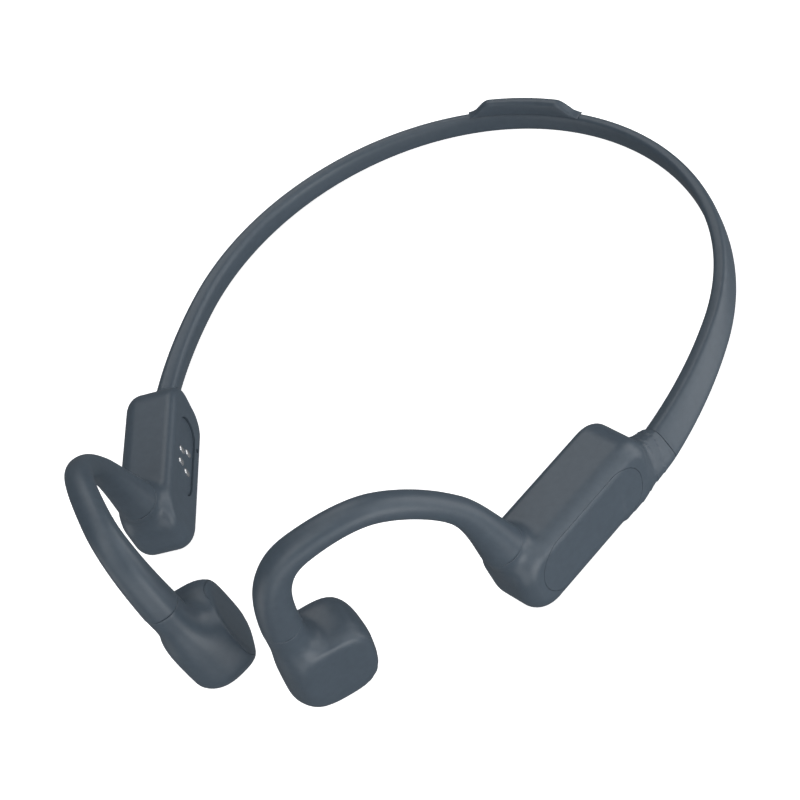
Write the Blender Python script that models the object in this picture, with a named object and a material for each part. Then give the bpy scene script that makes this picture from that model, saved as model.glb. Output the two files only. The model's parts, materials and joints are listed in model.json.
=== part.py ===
"""Bone conduction headphones: a sprung neckband, two ear hooks, two housings and two transducer pods.

World frame in metres: +X is the wearer's left, +Y the back of the head, +Z up. The headset stands on the
lower edge of its neckband and housings at z = 0, and the origin is under the middle of its box.

Each arm (side length of the band, housing, hook and pod) hangs from an empty on its flex axis, a vertical
line through the band beside the nape. Pieces of a housing or a pod are modelled in that part's own frame:
X runs forward along it, Z up it, and Y across it. OUTWARD is +Y on the left side and -Y on the right.
"""

import math

import bmesh
import bpy
from mathutils import Matrix, Vector

MM = 0.001

# Fits
FIT_GAP = 0.1 * MM  # between pieces that are clipped or glued together
SEAM_GAP = 0.2 * MM  # between the soft sleeves and the hard parts they butt against
CORE_GAP = 0.13 * MM  # round the wire and the cable in their passage

# Neckband: half an ellipse behind the ears, then a longer ellipse that closes in towards the housings
BAND_HALF_WIDTH = 48.3 * MM
BAND_REAR_REACH = 49.2 * MM
BAND_FRONT_REACH = 67.4 * MM
BAND_SEAM_TURN = math.radians(110.0)  # where the sleeve butts against a housing, from the nape
BAND_CORE_TURN = math.radians(119.5)  # where its wire and cable end, inside the housing
BAND_REAR_THICKNESS = 1.9 * MM
BAND_REAR_HEIGHT = 4.1 * MM
BAND_SEAM_THICKNESS = 3.7 * MM
BAND_SEAM_HEIGHT = 6.4 * MM
BAND_SQUARENESS = 2.8
ROUNDED_END_WALL = 0.12 * MM
FLEX_TURN = math.radians(35.0)

# Wire and cable that run through the band and the hooks
WIRE_DIAMETER = 0.8 * MM
CABLE_DIAMETER = 0.7 * MM

# Fin that stands on the band at the nape
FIN_FOOT_WIDTH = 22.3 * MM
FIN_TOP_WIDTH = 14.7 * MM
FIN_HEIGHT = 2.8 * MM
FIN_THICKNESS = 1.9 * MM
FIN_CHAMFER = 0.45 * MM
FIN_FOOT_RISE = 0.55 * MM

# Housings
HOUSING_SETBACK = 4.11 * MM  # from the band's seam forward to a housing's rear end
HOUSING_TURN_IN = math.radians(8.08)  # further inward than the band's end
HOUSING_LENGTH = 29.3 * MM
HOUSING_HEIGHT = 13.3 * MM
HOUSING_THICKNESS = 9.7 * MM
HOUSING_INSET = HOUSING_THICKNESS / 2.0 - 2.68 * MM  # its middle lies this far inward of the band's end
HOUSING_ROUNDING = 3.0 * MM
HOUSING_WALL = 1.2 * MM
REAR_NECK_THICKNESS = HOUSING_THICKNESS - 2.5 * MM
REAR_NECK_HEIGHT = HOUSING_HEIGHT - 3.7 * MM
NECK_BORE = 3.0 * MM
BORE_SIDES = 10
BORE_OVERRUN = math.radians(1.5)
COVER_LENGTH = HOUSING_LENGTH - 6.7 * MM
COVER_HEIGHT = HOUSING_HEIGHT - 3.3 * MM
COVER_THICKNESS = 0.9 * MM
COVER_LEDGE = 0.75 * MM
SEAL_THICKNESS = 0.4 * MM
CUT_MARGIN = 1.0 * MM  # how far a cutter runs past a face

# Ear hooks: the centre line rises from inside the housing and comes down into the pod
HOOK_ROOT_POINTS = [
    # forward of the housing's front end, outward of its middle, above its top
    (-6.68 * MM, -0.36 * MM, -4.7 * MM),
    (-2.95 * MM, -0.20 * MM, -0.9 * MM),
    (1.53 * MM, -0.28 * MM, 14.4 * MM),
    (11.35 * MM, -2.80 * MM, 25.1 * MM),
]
HOOK_TIP_POINTS = [
    # share of the pod's half length forward of its middle, outward of it, above its top
    (0.05, 0.80 * MM, 19.5 * MM),
    (0.74, 0.35 * MM, 14.4 * MM),
    (0.83, 0.40 * MM, 4.9 * MM),
    (0.49, 0.70 * MM, -5.2 * MM),
]
HOOK_CORE_START = 0.5  # places are counted in spans between the points
FRONT_NECK_START = 0.45
HOOK_SEAM_PLACE = 1.2
HOOK_SLIM_PLACE = 2.2
POD_SEAM_PLACE = 6.0
HOOK_CORE_END = 6.8
POD_NECK_END = 6.95
FRONT_BORE_START = 0.1
BORE_OVERRUN_PLACES = 0.1
SEAM_GAP_SHARE = 0.02  # the seam's gap in spans
HOOK_SQUARENESS = 2.2
HOOK_ROOT_RADIUS = 3.4 * MM
HOOK_SLIM_RADIUS = 1.95 * MM
HOOK_TIP_RADIUS = 2.9 * MM
FRONT_NECK_RADIUS = 3.9 * MM

# Pods
POD_SPACING = 21.0 * MM  # between the two pods' middles
POD_AHEAD = 18.0 * MM  # in front of the housings' front ends
POD_MIDDLE_HEIGHT = 12.45 * MM
POD_TOE_IN = math.radians(38.0)
POD_PITCH = math.radians(9.4)
POD_LEAN = math.radians(7.0)
POD_LENGTH = 13.1 * MM
POD_HEIGHT = 15.9 * MM
POD_THICKNESS = 10.0 * MM
POD_CROWN = 1.12  # how much thicker the rounded form is than its two flat faces
POD_SQUARENESS = 3.0
POD_LEVELS = 10
POD_SIDES = 20
POD_WALL = 1.1 * MM
PAD_LENGTH = POD_LENGTH - 2.1 * MM
PAD_HEIGHT = POD_HEIGHT - 2.3 * MM
PAD_THICKNESS = 1.0 * MM
PAD_LEDGE = 0.7 * MM
GASKET_THICKNESS = 0.35 * MM

# Transducer
YOKE_RADIUS = PAD_LENGTH / 2.0 - PAD_LEDGE - 0.25 * MM
YOKE_HEIGHT = 3.7 * MM
YOKE_WALL = 0.8 * MM
MAGNET_RADIUS = 0.53 * YOKE_RADIUS
MAGNET_HEIGHT = 1.7 * MM
POLE_HEIGHT = 0.6 * MM
COIL_SHARE = 0.45  # of the gap between the magnet and the yoke
COIL_HEIGHT = 1.8 * MM
SPRING_THICKNESS = 0.25 * MM
POST_RADIUS = 0.33 * YOKE_RADIUS
POST_OVERLAP = 0.3 * MM

# Battery in the left housing
CELL_LENGTH = HOUSING_LENGTH - 14.8 * MM
CELL_HEIGHT = HOUSING_HEIGHT - 5.9 * MM
CELL_THICKNESS = HOUSING_THICKNESS - 4.8 * MM
CELL_ROUNDING = 0.8 * MM
CELL_FORWARD = 0.6 * MM
CELL_PAD_THICKNESS = 0.5 * MM
CELL_PAD_MARGIN = 1.0 * MM
CELL_BOARD_LENGTH = 1.2 * MM
CELL_BOARD_HEIGHT_MARGIN = 1.2 * MM
CELL_BOARD_THICKNESS_MARGIN = 0.5 * MM

# Charging contacts and boards in the right housing
INSERT_CENTRE = (-1.3 * MM, 0.6 * MM)
INSERT_LENGTH = HOUSING_LENGTH - 13.7 * MM
INSERT_HEIGHT = HOUSING_HEIGHT - 7.1 * MM
INSERT_THICKNESS = 0.8 * MM
INSERT_RECESS = 0.3 * MM
PIN_PLACES = [
    # forward of the insert's middle, above it
    (-0.5 * MM, 0.20 * INSERT_HEIGHT),
    (2.0 * MM, 0.20 * INSERT_HEIGHT),
    (-1.5 * MM, -0.19 * INSERT_HEIGHT),
    (2.6 * MM, -0.19 * INSERT_HEIGHT),
]
PIN_LENGTH = 1.0 * MM
PIN_HEIGHT = 0.306 * INSERT_HEIGHT
PIN_PROUD = 0.1 * MM
BOARD_DEPTH = 2.55 * MM  # the contact side of the board lies this far under the inner face
BOARD_LENGTH = HOUSING_LENGTH - 15.7 * MM
BOARD_HEIGHT = HOUSING_HEIGHT - 7.7 * MM
BOARD_THICKNESS = 0.8 * MM
BOARD_CENTRE = (0.3 * MM, 1.1 * MM)
SHIELD_LENGTH = BOARD_LENGTH - 5.1 * MM
SHIELD_HEIGHT = BOARD_HEIGHT - 1.2 * MM
SHIELD_THICKNESS = 1.4 * MM
SHIELD_FORWARD = 1.0 * MM
SHIELD_ROUNDING = 0.2 * MM
MICROPHONE_FORWARD = 5.7 * MM - COVER_LENGTH / 2.0
MICROPHONE_DROP = 1.0 * MM  # below the insert's lower edge
MICROPHONE_HOLE = 0.9 * MM
MICROPHONE_SIZE = (1.9 * MM, 0.9 * MM, 1.2 * MM)
MICROPHONE_LIFT = 0.2 * MM

# Keys in the lower edge of the right housing
KEY_LENGTH = (COVER_LENGTH - COVER_HEIGHT - 1.8 * MM) / 3.0
KEY_SPACING = KEY_LENGTH + 1.0 * MM
KEY_PLACES = {"volume_up": -KEY_SPACING, "power": 0.0, "volume_down": KEY_SPACING}
KEY_ACROSS = 0.9 * MM  # the row's distance outward of the housing's middle
KEY_WIDTH = 2.0 * MM
KEY_ROUNDING = 0.25 * MM
KEY_FLANGE = 0.45 * MM
KEY_FLANGE_MARGIN = 0.4 * MM
KEY_TRAVEL = 0.35 * MM
KEY_RECESS = 0.1 * MM
SWITCH_LENGTH = 0.6 * KEY_LENGTH
SWITCH_WIDTH = 1.6 * MM
SWITCH_HEIGHT = 0.7 * MM
SWITCH_ROUNDING = 0.15 * MM
KEY_BOARD_LENGTH = 2.0 * KEY_SPACING + KEY_LENGTH - 0.2 * MM
KEY_BOARD_WIDTH = 2.4 * MM
KEY_BOARD_THICKNESS = 0.4 * MM

# Facets
RING_SIDES = 12
CORE_SIDES = 6
TURNED_SIDES = 24
END_SEGMENTS = 8

SIDES = {"left": 1.0, "right": -1.0}
UP = Vector((0.0, 0.0, 1.0))

FINISHES = {
    # name: (colour, roughness, metallic)
    "soft_sleeve": ((0.088, 0.112, 0.135, 1.0), 0.48, 0.0),
    "shell_plastic": ((0.090, 0.114, 0.137, 1.0), 0.42, 0.0),
    "contact_metal": ((0.82, 0.82, 0.80, 1.0), 0.28, 1.0),
    "spring_wire": ((0.55, 0.54, 0.52, 1.0), 0.35, 1.0),
    "cable_jacket": ((0.03, 0.03, 0.03, 1.0), 0.6, 0.0),
    "seal_rubber": ((0.02, 0.02, 0.02, 1.0), 0.8, 0.0),
    "cell_foil": ((0.62, 0.63, 0.65, 1.0), 0.4, 0.8),
    "foam": ((0.05, 0.05, 0.05, 1.0), 0.95, 0.0),
    "board_green": ((0.02, 0.16, 0.07, 1.0), 0.5, 0.0),
    "plated_steel": ((0.60, 0.60, 0.58, 1.0), 0.3, 1.0),
    "magnet_nickel": ((0.72, 0.71, 0.68, 1.0), 0.22, 1.0),
    "copper_winding": ((0.72, 0.35, 0.20, 1.0), 0.35, 1.0),
    "black_plastic": ((0.03, 0.03, 0.035, 1.0), 0.5, 0.0),
}


def finish(name):
    """The material called NAME, made once from FINISHES."""
    material = bpy.data.materials.get(name)
    if material:
        return material
    colour, roughness, metallic = FINISHES[name]
    material = bpy.data.materials.new(name)
    material.use_nodes = True
    shader = material.node_tree.nodes["Principled BSDF"]
    shader.inputs["Base Color"].default_value = colour
    shader.inputs["Roughness"].default_value = roughness
    shader.inputs["Metallic"].default_value = metallic
    return material


# ---------------------------------------------------------------- meshes


def solid(name, bm, parent, look, smooth=True):
    """An object made from a closed bmesh, with its faces turned outward."""
    bmesh.ops.recalc_face_normals(bm, faces=bm.faces)
    mesh = bpy.data.meshes.new(name)
    bm.to_mesh(mesh)
    bm.free()
    if smooth:
        mesh.shade_smooth()
        mesh.set_sharp_from_angle(angle=math.radians(35.0))
    mesh.materials.append(finish(look))
    made = bpy.data.objects.new(name, mesh)
    bpy.context.collection.objects.link(made)
    made.parent = parent
    return made


def guide(name, bm, parent):
    """A cutter or a shape to be joined: it shapes other pieces and isn't one itself."""
    made = solid(name, bm, parent, "black_plastic", smooth=False)
    made.hide_render = True
    made.display_type = "WIRE"
    return made


def shape_with(piece, other, operation):
    """Keep PIECE shaped by OTHER through an exact Boolean."""
    modifier = piece.modifiers.new(operation.lower(), "BOOLEAN")
    modifier.operation = operation
    modifier.solver = "EXACT"
    modifier.object = other


def add_loop(bm, points):
    return [bm.verts.new(point) for point in points]


def join_loops(bm, first, second):
    """Quads between two loops of the same number of vertices."""
    count = len(first)
    for index in range(count):
        following = (index + 1) % count
        bm.faces.new((first[index], first[following], second[following], second[index]))


def loft(rings):
    """A closed body through RINGS, capped at both ends."""
    bm = bmesh.new()
    loops = [add_loop(bm, ring) for ring in rings]
    for first, second in zip(loops, loops[1:]):
        join_loops(bm, first, second)
    bm.faces.new(loops[0])
    bm.faces.new(loops[-1])
    return bm


def tube(outer_rings, inner_rings):
    """A body between two lofts, open right through."""
    bm = bmesh.new()
    outer = [add_loop(bm, ring) for ring in outer_rings]
    inner = [add_loop(bm, ring) for ring in inner_rings]
    for loops in (outer, inner):
        for first, second in zip(loops, loops[1:]):
            join_loops(bm, first, second)
    join_loops(bm, outer[0], inner[0])
    join_loops(bm, outer[-1], inner[-1])
    return bm


def oval(centre, across, upward, half_across, half_up, squareness=2.0, sides=RING_SIDES):
    """A superellipse round CENTRE in the plane of the unit vectors ACROSS and UPWARD."""
    points = []
    for index in range(sides):
        angle = 2.0 * math.pi * (index + 0.5) / sides
        cosine = math.cos(angle)
        sine = math.sin(angle)
        reach = math.copysign(abs(cosine) ** (2.0 / squareness), cosine) * half_across
        rise = math.copysign(abs(sine) ** (2.0 / squareness), sine) * half_up
        points.append(centre + across * reach + upward * rise)
    return points


def stadium(length, height, across, centre=(0.0, 0.0)):
    """A slot outline with round ends in the plane at ACROSS: LENGTH forward and HEIGHT up."""
    radius = min(length, height) / 2.0
    forward = length / 2.0 - radius
    rise = height / 2.0 - radius
    upright = height > length
    points = []
    for index in range(2 * END_SEGMENTS):
        turn = math.pi * (index % END_SEGMENTS) / (END_SEGMENTS - 1) - math.pi / 2.0
        far = 1.0 if index < END_SEGMENTS else -1.0
        x = far * (forward + radius * math.cos(turn))
        z = far * radius * math.sin(turn)
        if upright:
            x = -far * radius * math.sin(turn)
            z = far * (rise + radius * math.cos(turn))
        points.append(Vector((centre[0] + x, across, centre[1] + z)))
    return points


def stadium_prism(length, height, near, far, centre=(0.0, 0.0)):
    return loft([stadium(length, height, near, centre), stadium(length, height, far, centre)])


def stadium_ring(length, height, width, near, far):
    """A flat band round a slot, WIDTH wide."""
    bm = bmesh.new()
    loops = []
    for shrink, across in ((0.0, near), (0.0, far), (width, far), (width, near)):
        outline = stadium(length - 2.0 * shrink, height - 2.0 * shrink, across)
        loops.append(add_loop(bm, outline))
    for index in range(len(loops)):
        join_loops(bm, loops[index], loops[(index + 1) % len(loops)])
    return bm


def block(size, centre, rounding=0.0, segments=2):
    """A box, optionally with rounded edges."""
    bm = bmesh.new()
    bmesh.ops.create_cube(bm, size=1.0)
    bmesh.ops.scale(bm, vec=size, verts=bm.verts)
    if rounding:
        bmesh.ops.bevel(
            bm, geom=list(bm.edges), offset=rounding, segments=segments, profile=0.5, affect="EDGES"
        )
    bmesh.ops.translate(bm, vec=centre, verts=bm.verts)
    return bm


def turned(profile):
    """A round piece on the Y axis: PROFILE is a closed outline of (radius, along)."""
    bm = bmesh.new()
    outline = add_loop(bm, [Vector((radius, along, 0.0)) for radius, along in profile])
    edges = [bm.edges.new((outline[i], outline[(i + 1) % len(outline)])) for i in range(len(outline))]
    on_axis = [edge for edge in edges if all(vert.co.x < 1e-9 for vert in edge.verts)]
    for edge in on_axis:
        edges.remove(edge)
        bm.edges.remove(edge)
    bmesh.ops.spin(
        bm,
        geom=edges,
        cent=(0.0, 0.0, 0.0),
        axis=(0.0, 1.0, 0.0),
        angle=2.0 * math.pi,
        steps=TURNED_SIDES,
        use_merge=True,
    )
    bmesh.ops.remove_doubles(bm, verts=bm.verts, dist=1e-7)
    return bm


def ring_profile(inner, outer, near, far):
    return [(inner, near), (outer, near), (outer, far), (inner, far)]


def disc_profile(radius, near, far):
    return ring_profile(0.0, radius, near, far)


def frame_at(name, place, parent=None):
    """An empty that other pieces hang from. PLACE is a matrix in the parent's frame."""
    made = bpy.data.objects.new(name, None)
    bpy.context.collection.objects.link(made)
    made.empty_display_size = 5.0 * MM
    made.parent = parent
    made.matrix_local = place
    return made


# ---------------------------------------------------------------- routes


def band_frame(turn):
    """Centre, outward direction and share of the way to the housing, TURN radians from the nape."""
    reach = BAND_REAR_REACH if abs(turn) <= math.pi / 2.0 else BAND_FRONT_REACH
    centre = Vector((BAND_HALF_WIDTH * math.sin(turn), reach * math.cos(turn), 0.0))
    outward = Vector((reach * math.sin(turn), BAND_HALF_WIDTH * math.cos(turn), 0.0)).normalized()
    share = min(1.0, (turn / BAND_SEAM_TURN) ** 2)
    thickness = BAND_REAR_THICKNESS + (BAND_SEAM_THICKNESS - BAND_REAR_THICKNESS) * share
    height = BAND_REAR_HEIGHT + (BAND_SEAM_HEIGHT - BAND_REAR_HEIGHT) * share
    return centre, outward, thickness, height


def smooth_route(points, place):
    """Position and direction on the Catmull-Rom curve through POINTS, PLACE spans along it."""
    span = min(int(place), len(points) - 2)
    t = place - span
    before = points[span - 1] if span > 0 else 2.0 * points[0] - points[1]
    after = points[span + 2] if span + 2 < len(points) else 2.0 * points[-1] - points[-2]
    start = points[span]
    end = points[span + 1]
    across = end - before
    bend = 2.0 * before - 5.0 * start + 4.0 * end - after
    twist = 3.0 * start - before - 3.0 * end + after
    position = start + 0.5 * (across * t + bend * t * t + twist * t**3)
    direction = 0.5 * (across + 2.0 * bend * t + 3.0 * twist * t * t)
    return position, direction.normalized()


def left_housing():
    """Centre, forward direction and outward direction of the left housing, which follows the band's end."""
    seam, band_outward, _, _ = band_frame(BAND_SEAM_TURN)
    band_forward = Vector((band_outward.y, -band_outward.x, 0.0))
    rear_end = seam + band_forward * HOUSING_SETBACK - band_outward * HOUSING_INSET
    turn_in = Matrix.Rotation(-HOUSING_TURN_IN, 3, "Z")
    forward = turn_in @ band_forward
    centre = rear_end + forward * HOUSING_LENGTH / 2.0 + UP * HOUSING_HEIGHT / 2.0
    return centre, forward, turn_in @ band_outward


def left_pod():
    """Centre and forward, outward and upward directions of the left pod: turned in, pitched and leaned."""
    housing_centre, ahead, _ = left_housing()
    front_end = housing_centre + ahead * HOUSING_LENGTH / 2.0
    centre = Vector((POD_SPACING / 2.0, front_end.y - POD_AHEAD, POD_MIDDLE_HEIGHT))
    level = Vector((math.cos(POD_TOE_IN), -math.sin(POD_TOE_IN), 0.0))
    forward = level.cross(UP) * math.cos(POD_PITCH) + UP * math.sin(POD_PITCH)
    upward = forward.cross(level) * math.cos(POD_LEAN) + level * math.sin(POD_LEAN)
    return centre, forward, upward.cross(forward), upward


def left_hook_points():
    """The points that the left hook's centre line passes through, from the housing to the pod."""
    housing_centre, ahead, housing_outward = left_housing()
    corner = housing_centre + ahead * HOUSING_LENGTH / 2.0 + UP * HOUSING_HEIGHT / 2.0
    points = [corner + ahead * x + housing_outward * y + UP * z for x, y, z in HOOK_ROOT_POINTS]
    pod_centre, forward, outward, upward = left_pod()
    top = pod_centre + upward * POD_HEIGHT / 2.0
    for share, across, rise in HOOK_TIP_POINTS:
        points.append(top + forward * share * POD_LENGTH / 2.0 + outward * across + upward * rise)
    return points


HOOK_POINTS = left_hook_points()


def hook_frame(place, side):
    """Centre, sideways and upward directions and radius of a hook, PLACE spans along its points."""
    centre, along = smooth_route(HOOK_POINTS, place)
    heading = (HOOK_POINTS[-2] - HOOK_POINTS[1]).to_2d().normalized()
    level = Vector((heading.y, -heading.x, 0.0))
    upward = along.cross(level).normalized()
    sideways = upward.cross(along).normalized()
    slim_share = min(1.0, max(0.0, (place - HOOK_SEAM_PLACE) / (HOOK_SLIM_PLACE - HOOK_SEAM_PLACE)))
    slim_share = math.sin(slim_share * math.pi / 2.0)
    tip_share = max(0.0, (place - HOOK_SLIM_PLACE) / (POD_SEAM_PLACE - HOOK_SLIM_PLACE)) ** 1.5
    radius = HOOK_ROOT_RADIUS + (HOOK_SLIM_RADIUS - HOOK_ROOT_RADIUS) * slim_share
    radius += (HOOK_TIP_RADIUS - HOOK_SLIM_RADIUS) * tip_share
    mirror = mirror_for(side)
    return mirror @ centre, mirror @ sideways, mirror @ upward, radius


def mirror_for(side):
    return Matrix.Diagonal(Vector((side, 1.0, 1.0)))


def place_on(side, origin, centre, forward, upward):
    """Matrix of a left-hand frame, mirrored to SIDE, from the arm's origin: X forward and Z up it."""
    mirror = mirror_for(side)
    x = mirror @ forward
    z = mirror @ upward
    basis = Matrix((x, z.cross(x), z)).transposed()
    return Matrix.Translation(mirror @ centre - origin) @ basis.to_4x4()


def steps(first, last, count):
    return [first + (last - first) * index / (count - 1) for index in range(count)]


def passage_half_sizes():
    """Half width and half height of the passage that holds the wire under the cable."""
    half_width = WIRE_DIAMETER / 2.0 + CORE_GAP
    half_height = (WIRE_DIAMETER + CABLE_DIAMETER + CORE_GAP) / 2.0 + CORE_GAP
    return half_width, half_height


def core_offsets():
    """How far the wire and the cable lie above the middle of the passage."""
    spread = (WIRE_DIAMETER + CABLE_DIAMETER + CORE_GAP) / 2.0
    return {"wire": WIRE_DIAMETER / 2.0 - spread, "cable": spread - CABLE_DIAMETER / 2.0}


CORES = {"wire": (WIRE_DIAMETER, "spring_wire"), "cable": (CABLE_DIAMETER, "cable_jacket")}


# ---------------------------------------------------------------- neckband


def band_rings(turns, side, origin, kind):
    """Rings of the sleeve ("skin"), its passage ("passage") or a core ("wire", "cable")."""
    rings = []
    for turn in turns:
        centre, outward, thickness, height = band_frame(turn)
        middle = mirror_for(side) @ (centre + UP * height / 2.0) - origin
        outward = mirror_for(side) @ outward
        if kind == "skin":
            rings.append(oval(middle, outward, UP, thickness / 2.0, height / 2.0, BAND_SQUARENESS))
        elif kind == "passage":
            half_width, half_height = passage_half_sizes()
            rings.append(oval(middle, outward, UP, half_width, half_height, BAND_SQUARENESS))
        else:
            diameter, _ = CORES[kind]
            lifted = middle + UP * core_offsets()[kind]
            rings.append(oval(lifted, outward, UP, diameter / 2.0, diameter / 2.0, sides=CORE_SIDES))
    return rings


def flex_point(side):
    """A point on the flex axis of one arm."""
    centre, _, _, _ = band_frame(FLEX_TURN)
    return Vector((side * centre.x, centre.y, 0.0))


def flex_half_thickness():
    _, _, thickness, _ = band_frame(FLEX_TURN)
    return thickness / 2.0


def rear_end_turn():
    """Where the nape length of the band stops, clear of the arm's rounded end."""
    return FLEX_TURN - (flex_half_thickness() + SEAM_GAP) / BAND_REAR_REACH


def nape_length(parent):
    """The sleeve, wire and cable that pass behind the neck."""
    end = rear_end_turn()
    turns = steps(-end, end, 15)
    origin = Vector((0.0, 0.0, 0.0))
    skin = band_rings(turns, 1.0, origin, "skin")
    passage = band_rings(turns, 1.0, origin, "passage")
    solid("neckband_sleeve_nape", tube(skin, passage), parent, "soft_sleeve")
    for kind, (_, look) in CORES.items():
        solid(f"neckband_{kind}_nape", loft(band_rings(turns, 1.0, origin, kind)), parent, look)


def rounded_start(rings, origin, side):
    """Rings behind the flex axis, ever thinner, so that the end turns inside its own circle."""
    half = flex_half_thickness()
    slimmest = (passage_half_sizes()[0] + ROUNDED_END_WALL) / half
    _, outward, _, _ = band_frame(FLEX_TURN)
    outward = mirror_for(side) @ outward
    backward = Vector((-side * outward.y, side * outward.x, 0.0))
    pivot = flex_point(side) - origin
    ends = []
    for slimness in (slimmest, (1.0 + slimmest) / 2.0):
        setback = half * math.sqrt(1.0 - slimness**2)
        ring = []
        for point in rings[0]:
            offset = (point - pivot).dot(outward)
            ring.append(point - outward * offset * (1.0 - slimness) + backward * setback)
        ends.append(ring)
    return ends + rings


def moved(ring, by):
    return [point + by for point in ring]


def arm_band(name, side, parent, origin):
    """One side length of the band: sleeve, wire and cable."""
    turns = steps(FLEX_TURN, BAND_SEAM_TURN, 15)
    skin = rounded_start(band_rings(turns, side, origin, "skin"), origin, side)
    passage = band_rings(turns, side, origin, "passage")
    first = passage[0]
    pivot_ring = band_rings(turns[:1], side, origin, "skin")[0]
    back_steps = [centre_of(skin[index]) - centre_of(pivot_ring) for index in (0, 1)]
    passage = [moved(first, back_steps[0]), moved(first, back_steps[1])] + passage
    solid(f"neckband_sleeve_{name}", tube(skin, passage), parent, "soft_sleeve")
    for kind, (_, look) in CORES.items():
        core_turns = turns + steps(BAND_SEAM_TURN, BAND_CORE_TURN, 4)[1:]
        rings = band_rings(core_turns, side, origin, kind)
        solid(f"neckband_{kind}_{name}", loft(rings), parent, look)


def centre_of(ring):
    return sum(ring, Vector((0.0, 0.0, 0.0))) / len(ring)


def nape_fin(parent):
    """The tab that stands on the band at the nape: it follows the band and slopes down at both ends."""
    foot_turn = math.asin(FIN_FOOT_WIDTH / 2.0 / BAND_HALF_WIDTH)
    top_turn = math.asin(FIN_TOP_WIDTH / 2.0 / BAND_HALF_WIDTH)
    turns = [-foot_turn] + steps(-top_turn, top_turn, 9) + [foot_turn]
    rings = []
    for turn in turns:
        centre, outward, _, height = band_frame(turn)
        foot = height + FIT_GAP
        rise = FIN_FOOT_RISE if abs(turn) == foot_turn else FIN_HEIGHT
        top = height + rise
        half = FIN_THICKNESS / 2.0
        chamfer = min(FIN_CHAMFER, (top - foot) / 2.0)
        outline = [
            (-half, foot),
            (half, foot),
            (half, top - chamfer),
            (half - chamfer, top),
            (chamfer - half, top),
            (-half, top - chamfer),
        ]
        rings.append([centre + outward * across + UP * z for across, z in outline])
    solid("nape_fin", loft(rings), parent, "soft_sleeve")


# ---------------------------------------------------------------- ear hooks


def hook_rings(places, side, origin, kind):
    """Rings along a hook, of its skin, its passage or a core."""
    rings = []
    for place in places:
        centre, sideways, upward, radius = hook_frame(place, side)
        middle = centre - origin
        if kind == "skin":
            rings.append(oval(middle, sideways, upward, radius, radius, HOOK_SQUARENESS))
        elif kind == "passage":
            half_width, half_height = passage_half_sizes()
            rings.append(oval(middle, sideways, upward, half_width, half_height, BAND_SQUARENESS))
        else:
            diameter, _ = CORES[kind]
            lifted = middle + upward * core_offsets()[kind]
            rings.append(oval(lifted, sideways, upward, diameter / 2.0, diameter / 2.0, sides=CORE_SIDES))
    return rings


def ear_hook(name, side, parent, origin):
    """The sleeve, wire and cable of one hook, from the housing's neck to the pod's neck."""
    places = steps(HOOK_SEAM_PLACE, POD_SEAM_PLACE, 19)
    skin = hook_rings(places, side, origin, "skin")
    passage = hook_rings(places, side, origin, "passage")
    solid(f"{name}_hook_sleeve", tube(skin, passage), parent, "soft_sleeve")
    inside_housing = steps(HOOK_CORE_START, HOOK_SEAM_PLACE, 4)[:-1]
    inside_pod = steps(POD_SEAM_PLACE, HOOK_CORE_END, 3)[1:]
    for kind, (_, look) in CORES.items():
        rings = hook_rings(inside_housing + places + inside_pod, side, origin, kind)
        solid(f"{name}_hook_{kind}", loft(rings), parent, look)


# ---------------------------------------------------------------- housings


def rear_neck(side, origin):
    """The flare that takes the band's end into the housing."""
    rings = []
    for turn in steps(BAND_SEAM_TURN + SEAM_GAP / BAND_FRONT_REACH, BAND_CORE_TURN, 5):
        share = (turn - BAND_SEAM_TURN) / (BAND_CORE_TURN - BAND_SEAM_TURN)
        centre, outward, _, _ = band_frame(turn)
        thickness = BAND_SEAM_THICKNESS + (REAR_NECK_THICKNESS - BAND_SEAM_THICKNESS) * share
        height = BAND_SEAM_HEIGHT + (REAR_NECK_HEIGHT - BAND_SEAM_HEIGHT) * share
        inset = outward * (BAND_SEAM_THICKNESS - thickness) / 2.0
        middle = mirror_for(side) @ (centre + inset + UP * height / 2.0) - origin
        outward = mirror_for(side) @ outward
        rings.append(oval(middle, outward, UP, thickness / 2.0, height / 2.0, BAND_SQUARENESS))
    return loft(rings)


def front_neck(side, origin):
    """The stub that rises from the housing's front corner to the hook's seam."""
    rings = []
    for place in steps(FRONT_NECK_START, HOOK_SEAM_PLACE - SEAM_GAP_SHARE, 4):
        centre, sideways, upward, _ = hook_frame(place, side)
        share = (place - FRONT_NECK_START) / (HOOK_SEAM_PLACE - FRONT_NECK_START)
        radius = FRONT_NECK_RADIUS + (HOOK_ROOT_RADIUS - FRONT_NECK_RADIUS) * share
        rings.append(oval(centre - origin, sideways, upward, radius, radius, HOOK_SQUARENESS))
    return loft(rings)


def hook_bore(first, last, side, origin):
    """A round passage along the hook's centre line."""
    rings = []
    for place in steps(first, last, 4):
        centre, sideways, upward, _ = hook_frame(place, side)
        radius = NECK_BORE / 2.0
        rings.append(oval(centre - origin, sideways, upward, radius, radius, sides=BORE_SIDES))
    return loft(rings)


def band_bore(side, origin):
    """A round passage along the end of the band."""
    rings = []
    for turn in steps(BAND_SEAM_TURN - BORE_OVERRUN, BAND_CORE_TURN + BORE_OVERRUN, 4):
        centre, outward, _, height = band_frame(turn)
        middle = mirror_for(side) @ (centre + UP * height / 2.0) - origin
        outward = mirror_for(side) @ outward
        rings.append(oval(middle, outward, UP, NECK_BORE / 2.0, NECK_BORE / 2.0, sides=BORE_SIDES))
    return loft(rings)


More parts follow.
